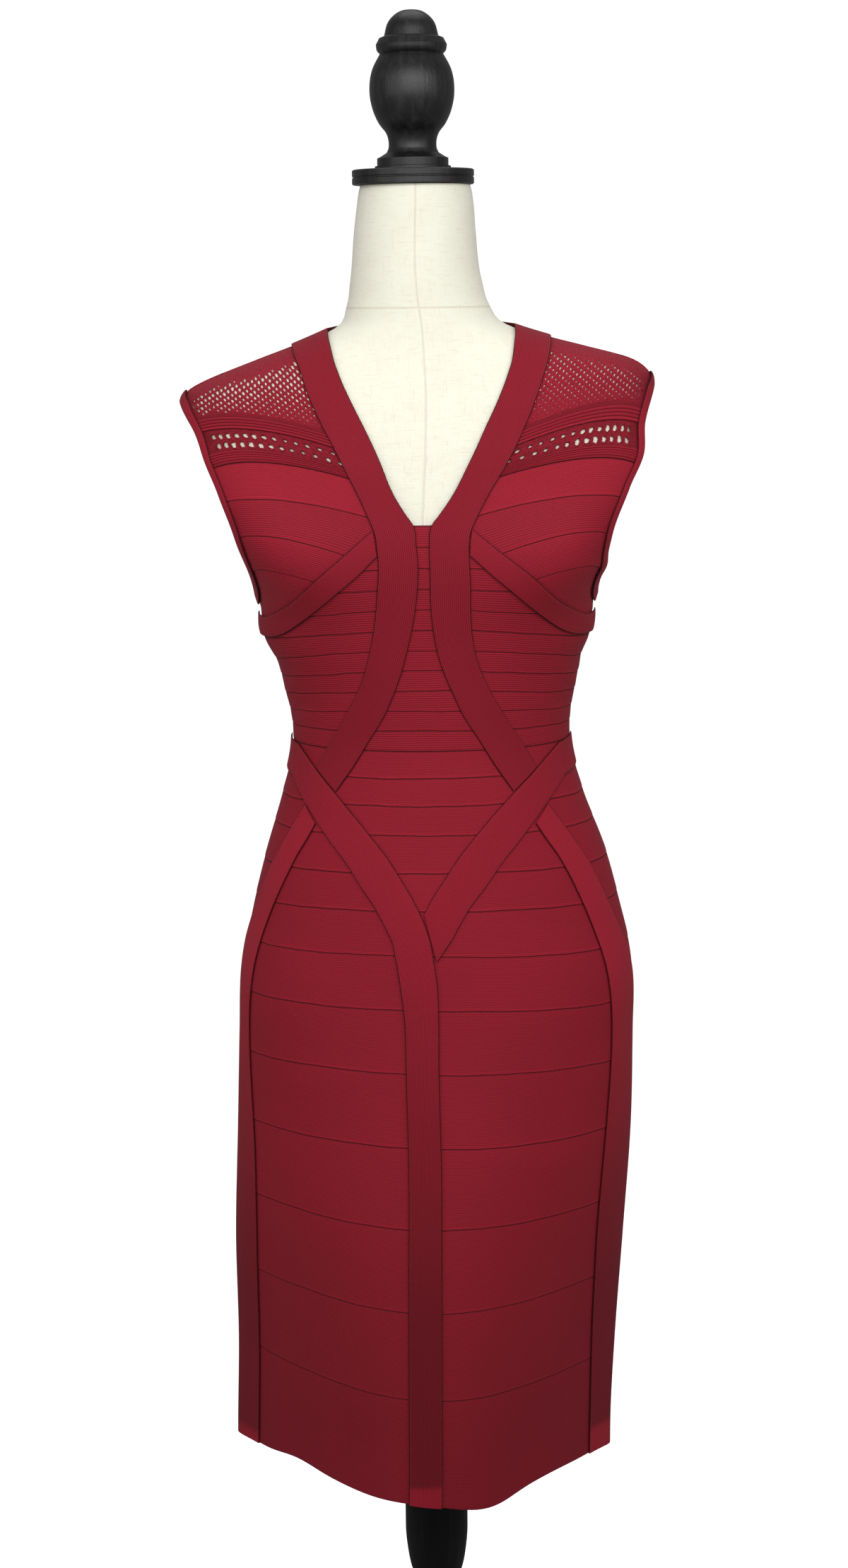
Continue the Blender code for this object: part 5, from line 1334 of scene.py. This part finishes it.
def eyelets(open_share, seed):
    """Rings round the eyelets, and points between the ones that are far apart."""
    chance = np.random.default_rng(seed)
    grid = np.stack(np.meshgrid(np.linspace(0.01, 0.99, 50), np.linspace(0.015, 0.985, 32)), -1)
    grid = grid.reshape(-1, 2)
    seen = yoke_front(grid)
    low, high = seen.min(0), seen.max(0)
    steps = np.stack(np.meshgrid(np.arange(-60, 61), np.arange(-60, 61)), -1).reshape(-1, 2)
    goals = (low + high) / 2 + steps @ np.array(EYELET_STEPS)
    goals = goals[((goals > low) & (goals < high)).all(1)]
    goals = goals + chance.uniform(-EYELET_JITTER, EYELET_JITTER, goals.shape)
    shares = grid[np.linalg.norm(goals[:, None] - seen[None], axis=-1).argmin(1)]
    for _ in range(4):
        move = np.linalg.solve(yoke_slopes(shares), (goals - yoke_front(shares))[..., None])[..., 0]
        shares = np.clip(shares + np.clip(move, -0.05, 0.05), 0.004, 0.996)
    found = np.linalg.norm(yoke_front(shares) - goals, axis=1) < 0.0003
    u, v = shares.T
    foot, head, neck, arm = (np.linalg.norm(yoke_front(np.stack(edge, -1)) - goals, axis=1)
                             for edge in ((u, 0 * v), (u, 0 * v + 1), (0 * u, v), (0 * u + 1, v)))
    open_here = found & (foot > NET_FOOT) & (head > CLOSE_TOP) & (neck > NET_UNDER) & (arm > NET_UNDER)
    size = open_share * (1.06 - 0.80 * (1 - u) * (1 - v) ** 2)
    size = size * (1 - 0.22 * np.exp(-(foot / 0.007) ** 2))
    size = size * (1 - 0.35 * np.exp(-((head - CLOSE_TOP) / 0.002) ** 2))
    size = size * chance.uniform(0.86, 1.12, len(u))
    angles = 2 * np.pi * np.arange(EYELET_SIDES) / EYELET_SIDES
    cosine, sine = math.cos(EYELET_LEAN), math.sin(EYELET_LEAN)
    turn = np.array(((cosine, -sine), (sine, cosine)))
    scale = np.array((YOKE_WIDE, YOKE_HIGH))
    holes = []
    for share, slope, big in zip(shares[open_here], yoke_slopes(shares)[open_here], size[open_here]):
        ring = np.stack([EYELET_LONG * big * np.cos(angles), EYELET_WIDE * big ** 1.4 * np.sin(angles)])
        ring = ring * chance.uniform(0.90, 1.10, EYELET_SIDES)
        holes.append((share + np.linalg.solve(slope, turn @ ring).T) * scale)
    middles = np.array([ring.mean(0) for ring in holes])
    spare = grid * scale
    lonely = np.linalg.norm(spare[:, None] - middles[None], axis=-1).min(1) > LONELY
    return holes, spare[lonely].tolist()


steps = np.linspace(0.0, 1.0, YOKE_STEPS + 1)[:-1]
outline = [(YOKE_WIDE * t, 0.0) for t in steps] + [(YOKE_WIDE, YOKE_HIGH * t) for t in steps]
outline += [(YOKE_WIDE * (1 - t), YOKE_HIGH) for t in steps]
outline += [(0.0, YOKE_HIGH * (1 - t)) for t in steps]
NET_KNIT = knit("net_knit", 0.0011, stitch=0.0011, depth=0.22, heather=2.80, grain=(760.0, 1.2),
                seam_line=NO_LINE)
for side, sign, open_share in (("left", -1, 1.0), ("right", 1, 0.70)):
    holes, filling = eyelets(open_share, 11 + sign)
    pierced("yoke_net_" + side, "yoke_" + side, NET_KNIT, outline, holes,
            ((1.0, -0.0001), (1.42, 0.0003)), net_place(sign), 0.0005, filling)


# --- Neck bands -----------------------------------------------------------------------
# Close-ribbed bands 30 mm wide lie over the panels, with the ribs along the band. They
# run from the shoulder down each side of the neck opening and on to the waist, and one
# goes round the back of the neck. Both edges are turned in and topstitched.
BAND_IN = 0.0022          # how far out a band's wall starts and ends
BAND_OUT = 0.0033
NECK_INNER_X = 0.0745
BACK_NECK_INNER = 1.3720
NECK_STEPS = 170
BACK_NECK_STEPS = 120
BAND_PLACES = np.array([[0], [0.015], [0.04], [0.09], [0.18], [0.30], [0.42], [0.5],
                        [0.58], [0.70], [0.82], [0.91], [0.96], [0.985], [1.0]])
EDGE_ROLL = 0.00055       # how far a band's edges sink, over about ROLL_REACH
ROLL_REACH = 0.0009
THREAD_DARK = (0.20, 0.0070, 0.0160, 1.0)
THREAD_LIGHT = (0.38, 0.0160, 0.0330, 1.0)
STITCH_SIZES = (("Pitch", 0.0017), ("Length", 0.0012), ("Thickness", 0.00046))
STITCH_INSET = 0.0010     # where the stitches lie inside a band's edge, and how deep
STITCH_LIFT = -0.00022


def smooth_through(rows, count):
    """A table's rows resampled on a smooth curve, evenly by length of the first edge."""
    rows = np.array(rows)
    length = lengths_along(rows[:, :2])
    return blend(np.column_stack([length, rows]), np.linspace(0.0, length[-1], count))


def square_on(rows, sign=1):
    """Rows of x, height, x, height turned into rows of turn, height, turn, height."""
    a, b, c, d = np.asarray(rows).T
    return np.stack([sign * turn_at(a, b), b, sign * turn_at(c, d), d], -1)


def stitch_row():
    """Geometry nodes: a row of small stitches along each line."""
    tree = bpy.data.node_groups.new("stitch_row", "GeometryNodeTree")
    tree.interface.new_socket("Lines", in_out="INPUT", socket_type="NodeSocketGeometry")
    for label, value in STITCH_SIZES:
        socket = tree.interface.new_socket(label, in_out="INPUT", socket_type="NodeSocketFloat")
        socket.default_value = value
    tree.interface.new_socket("Seed", in_out="INPUT", socket_type="NodeSocketInt")
    tree.interface.new_socket("Thread", in_out="INPUT", socket_type="NodeSocketMaterial")
    tree.interface.new_socket("Stitches", in_out="OUTPUT", socket_type="NodeSocketGeometry")
    given, made = tree.nodes.new("NodeGroupInput").outputs, tree.nodes.new("NodeGroupOutput").inputs
    line = add(tree, "GeometryNodeMeshToCurve", {0: given["Lines"]})
    even = add(tree, "GeometryNodeResampleCurve", {"Curve": line.outputs[0], "Length": given["Pitch"]},
               mode="LENGTH")
    bead = add(tree, "GeometryNodeMeshIcoSphere", {"Radius": 0.5, "Subdivisions": 1})
    size = add(tree, "ShaderNodeCombineXYZ", {0: given["Length"], 1: given["Thickness"],
                                              2: given["Thickness"]})
    stitch = add(tree, "GeometryNodeTransform", {"Geometry": bead.outputs["Mesh"],
                                                 "Scale": size.outputs[0]})
    way = add(tree, "GeometryNodeInputTangent")
    facing = add(tree, "FunctionNodeAlignRotationToVector", {"Vector": way.outputs[0]}, axis="X")
    uneven = add(tree, "FunctionNodeRandomValue", {"Min": (0.82, 0.80, 0.80), "Max": (1.10, 1.15, 1.15),
                                                   "Seed": given["Seed"]}, data_type="FLOAT_VECTOR")
    placed = add(tree, "GeometryNodeInstanceOnPoints", {
        "Points": even.outputs[0], "Instance": stitch.outputs[0],
        "Rotation": facing.outputs[0], "Scale": uneven.outputs[0]})
    real = add(tree, "GeometryNodeRealizeInstances", {0: placed.outputs[0]})
    thread = add(tree, "GeometryNodeSetMaterial", {0: real.outputs[0], "Material": given["Thread"]})
    tree.links.new(thread.outputs[0], made["Stitches"])
    return tree


def stitched(name, lines, seed):
    """Rows of topstitching along lines of points, as one piece."""
    mesh = bpy.data.meshes.new(name)
    points, edges = [], []
    for line in lines:
        edges += [(len(points) + i, len(points) + i + 1) for i in range(len(line) - 1)]
        points += line.tolist()
    mesh.from_pydata(points, edges, [])
    guide = new_thing(name + "_guide", mesh)
    sewing = guide.modifiers.new("sewing", "NODES")
    sewing.node_group = STITCH_ROW
    sockets = {item.name: item.identifier for item in STITCH_ROW.interface.items_tree
               if item.in_out == "INPUT"}
    for label, value in STITCH_SIZES + (("Seed", seed), ("Thread", THREAD)):
        sewing[sockets[label]] = value
    stitches = applied(guide)
    stitches.name = name
    stitches.shade_smooth()
    return piece(name, stitches, THREAD)


def band(node, material, edges, inside, out, seed, bright=1.0, sewn_edges=2):
    """A band between two edges, whose rims are rolled in, with its topstitching. edges
    has a row for each step along it: turn and height of one edge, then of the other.
    bright is its tone, or gives it from the heights."""
    a, b, c, d = np.asarray(edges).T
    width = apart((a, b), (c, d), out)
    inset = STITCH_INSET / width
    lines = [on_dress(between(a, c, share), between(b, d, share), out + STITCH_LIFT)
             for share in (inset, 1 - inset)[:sewn_edges]]
    sewn_on = stitched(node.replace("band_", "band_stitches_"), lines, seed)
    share = BAND_PLACES
    heights = between(b, d, share)
    roll = EDGE_ROLL * np.exp(-np.minimum(share, 1 - share) * width / ROLL_REACH)
    rows = {"turn": between(a, c, share), "height": heights, "out": out - roll,
            "along": lengths_along(on_dress((a + c) / 2, (b + d) / 2, out)),
            "across": share * np.median(width), "below": share * width, "above": (1 - share) * width,
            "tone": bright(heights) if callable(bright) else bright}
    cloth(node.replace("band_", "band_cloth_"), node, material, rows, inside)


def band_knit(name, rib, **finish):
    """The knit of a band, with the same dark line at both of its edges."""
    return knit(name, rib, below=1.0, lip=0.0, seam_line=0.0008, **finish)


def sewing_thread():
    """Wine-coloured sewing thread, a little shinier than the knit."""
    material, tree, surface = new_material("sewing_thread", 0.55, 0.10, WINE_SHEEN)
    place = add(tree, "ShaderNodeTexCoord").outputs["Object"]
    twist = noise(tree, place, 1800.0, 2.0)
    tree.links.new(mix(tree, twist, THREAD_DARK, THREAD_LIGHT), surface.inputs["Base Color"])
    bumped(tree, twist, 0.4, 0.0001, surface)
    return material


STITCH_ROW = stitch_row()
THREAD = sewing_thread()
NECK_KNIT = band_knit("neck_band_knit", 0.00155, depth=0.58)
inner, outer = ridge_height(NECK_INNER_X), ridge_height(NECK_OUTER_X)
body = smooth_through(NECK_BAND, NECK_STEPS)
seam = np.array((NECK_INNER_X, inner, NECK_OUTER_X, outer))
for side, sign in SIDES:
    top = [[sign * side_turn(inner), inner, sign * side_turn(outer), outer]]
    for share in np.linspace(0.0, 1.0, 8)[1:-1]:
        powers = np.array((share, share * share, share, share * share))
        top.append(square_on([seam + (body[0] - seam) * powers], sign)[0])
    band("neck_band_" + side, NECK_KNIT, np.concatenate([top, square_on(body, sign)]),
         BAND_IN, BAND_OUT, 3 + sign, 0.88)
turns = np.linspace(180.0 - side_turn(inner), 180.0 + side_turn(inner), BACK_NECK_STEPS + 1)
rise = np.sin(np.radians(turns - 90.0)) ** 2
edges = np.stack([turns, between(inner, BACK_NECK_INNER, rise), turns,
                  between(outer, BACK_NECK_OUTER, rise)], -1)
band("neck_band_back", NECK_KNIT, edges, BAND_IN, BAND_OUT, 7)


# --- Under-bust bands -----------------------------------------------------------------
# A narrow ribbed band slants from the neck band down under each side of the bust to the
# side seam, and covers the seam between the bust panel and the bodice.
UNDERBUST_IN = 0.0029
UNDERBUST_OUT = 0.0040
UNDERBUST_STEPS = 84
UNDERBUST_KNIT = band_knit("underbust_band_knit", 0.0014)


def side_end(upper, lower, sign=1):
    """The end of a band at the side: turn and height of its upper edge, then its lower."""
    return np.array((sign * side_turn(upper), upper, sign * side_turn(lower), lower))


rows = np.concatenate([square_on(UNDERBUST_BAND), [side_end(*UNDERBUST_SIDE)]])
key = (rows[:, 0] + rows[:, 2]) / 2
rows = blend(np.column_stack([key, rows]), np.linspace(key[0], key[-1], UNDERBUST_STEPS))
for side, sign in SIDES:
    band("underbust_band_" + side, UNDERBUST_KNIT, rows * (sign, 1, sign, 1),
         UNDERBUST_IN, UNDERBUST_OUT, 9 + sign)


# --- Hip bands ------------------------------------------------------------------------
# Ribbed bands run from each side of the waist down to centre front. The long one passes
# over the other there, and turns down the middle of the skirt to the hem.
TOP_BAND_IN = 0.0027
TOP_BAND_OUT = 0.0038
# upper edge x, upper edge height, lower edge x, lower edge height
HIP_BAND = (
    (0.1040, 1.0290, 0.1095, 1.0020),
    (0.0960, 1.0210, 0.1020, 0.9910),
    (0.0840, 1.0080, 0.0910, 0.9760),
    (0.0700, 0.9940, 0.0770, 0.9580),
    (0.0550, 0.9780, 0.0620, 0.9400),
    (0.0400, 0.9605, 0.0490, 0.9210),
    (0.0280, 0.9455, 0.0380, 0.9060),
    (0.0180, 0.9300, 0.0300, 0.8920),
    (0.0080, 0.9140, 0.0236, 0.8795),
)
HIP_SIDE = (1.0325, 1.0060)
SHORT_BAND_END = ((0.0019, 0.9018, 0.0130, 0.8632),)
LONG_BAND_TAIL = (
    (0.0000, 0.8990, 0.0218, 0.8728),
    (-0.0060, 0.8840, 0.0195, 0.8620),
    (-0.0110, 0.8605, 0.0171, 0.8480),
    (-0.0135, 0.8434, 0.0151, 0.8340),
    (-0.0145, 0.8200, 0.0128, 0.8150),
    (-0.0146, 0.7800, 0.0118, 0.7800),
    (-0.0146, 0.7400, 0.0116, 0.7400),
    (-0.0148, 0.6700, 0.0113, 0.6700),
    (-0.0150, 0.6000, 0.0113, 0.6000),
    (-0.0148, 0.5400, 0.0115, 0.5400),
    (-0.0145, 0.4800, 0.0118, 0.4800),
    (-0.0140, 0.4105, 0.0123, 0.4105),
)
BAND_TONE = 1.06
BAND_PAINTED_SHADE = 0.50         # painted shade: how much darker a band is painted, from what height and over what
BAND_PAINTED_SHADE_HEIGHT = 0.86
BAND_PAINTED_SHADE_REACH = 0.30
BRIGHT_END_HEIGHT = 0.4275   # below it the bands' ends are brighter
BRIGHT_END_TONE = 1.05
HIP_KNIT = band_knit("hip_band_knit", 0.0013)


def askew_edges(edges):
    """A band's edges after the pull on the skirt."""
    edges[:, 1] = askew(edges[:, 0], edges[:, 1])
    edges[:, 3] = askew(edges[:, 2], edges[:, 3])
    return edges


def hem_end(heights):
    """Low on the skirt a band is painted darker, as painted shade, and its last 15 mm is brighter."""
    # painted shade: darker towards the hem
    fall = np.clip((BAND_PAINTED_SHADE_HEIGHT - heights) / BAND_PAINTED_SHADE_REACH, 0.0, 1.0)
    bright_end = np.clip((BRIGHT_END_HEIGHT - heights) / 0.004, 0.0, 1.0)
    return (BAND_TONE - BAND_PAINTED_SHADE * fall) * (1 - bright_end) + BRIGHT_END_TONE * bright_end


for node, sign, rows, count, inside, out, cut in (
        ("hip_band_long", -1, HIP_BAND + LONG_BAND_TAIL, 300, TOP_BAND_IN, TOP_BAND_OUT,
         (0.032, 0.660, 0.0167)),
        ("hip_band_short", 1, HIP_BAND + SHORT_BAND_END, 110, BAND_IN, BAND_OUT,
         (0.032, 0.213, 0.0056))):
    edges = askew_edges(square_on(smooth_through(rows, count), sign))
    start = side_end(*HIP_SIDE, sign)
    turned_in = [between(start, edges[0], share) for share in np.linspace(0.0, 1.0, 12)[:-1]]
    band(node, HIP_KNIT, np.concatenate([turned_in, edges]), inside, out, 20 + sign, hem_end)


# --- Side bands -----------------------------------------------------------------------
# A wide band starts under each hip band, widens over the hip and goes down the side seam
# to the hem, with its ribs upright.
# front edge turn, front edge height, back edge turn, back edge height
SIDE_BAND = (
    (43.3, 0.9680, 51.7, 0.9826),
    (46.5, 0.9530, 56.0, 0.9680),
    (50.0, 0.9380, 60.5, 0.9500),
    (54.5, 0.9130, 66.5, 0.9270),
    (58.8, 0.8860, 72.0, 0.9000),
    (61.8, 0.8590, 78.5, 0.8720),
    (64.2, 0.8270, 85.0, 0.8450),
    (65.8, 0.7900, 89.7, 0.8000),
    (64.8, 0.7540, 89.7, 0.7540),
    (63.0, 0.7200, 89.7, 0.7200),
    (61.0, 0.6700, 89.7, 0.6700),
    (60.0, 0.6100, 89.7, 0.6100),
    (60.4, 0.5450, 89.7, 0.5450),
    (61.0, 0.4800, 89.7, 0.4800),
    (61.5, 0.4105, 89.7, 0.4105),
)
SIDE_STEPS = 150


def side_painted_light(heights):
    """Painted light: the side bands, in shade at the sides, are painted brighter, most over the hip, on
    top of the painted shade that hem_end() gives.
    """
    return hem_end(heights) * (1.18 + 0.08 * np.clip((heights - 0.62) / 0.15, 0.0, 1.0))


SIDE_KNIT = band_knit("side_band_knit", 0.0013)
keyed = [(index,) + row for index, row in enumerate(SIDE_BAND)]
a, b, c, d = blend(keyed, np.linspace(0.0, len(SIDE_BAND) - 1, SIDE_STEPS + 1)).T
for side, sign in SIDES:
    edges = askew_edges(np.stack([sign * a, b, sign * np.minimum(c, side_turn(d)), d], -1))
    band("side_band_" + side, SIDE_KNIT, edges, BAND_IN, BAND_OUT,
         30 + sign, side_painted_light, sewn_edges=1)


# --- Armhole bands --------------------------------------------------------------------
# A narrow folded binding goes all round each armhole, plain on its face, and hides the
# ends of the panels, the cords and the net.
ARMHOLE_BAND_IN = 0.0026
ARMHOLE_BAND_OUT = 0.0037
ARMHOLE_STEPS = 160
ARMHOLE_PLACES = (0.0, 0.0005, 0.0014, 0.003, 0.0045, 0.006, 0.0076, 0.0085, ARMHOLE_BAND)
ARMHOLE_KNIT = band_knit("armhole_band_knit", 0.0012, depth=0.20, relief=0.00018)
for side, sign in SIDES:
    angle = 2 * np.pi * np.arange(ARMHOLE_STEPS + 1) / ARMHOLE_STEPS
    spread = np.array(ARMHOLE_PLACES)[:, None]
    heights = ARMHOLE_HEIGHT + (ARMHOLE_RISE + spread) * np.cos(angle)
    turns = sign * (90.0 - (ARMHOLE_TURN + np.degrees(spread / side_width(heights))) * np.sin(angle))
    roll = EDGE_ROLL * np.exp(-np.minimum(spread, ARMHOLE_BAND - spread) / 0.0008)
    rows = {"turn": turns, "height": heights, "out": ARMHOLE_BAND_OUT - roll,
            "along": lengths_along(on_dress(turns[4], heights[4], 0.0)),
            "across": spread, "below": spread, "above": ARMHOLE_BAND - spread, "tone": 1.0}
    cloth("armhole_band_cloth_" + side, "armhole_band_" + side, ARMHOLE_KNIT, rows,
          ARMHOLE_BAND_IN, closed=True)
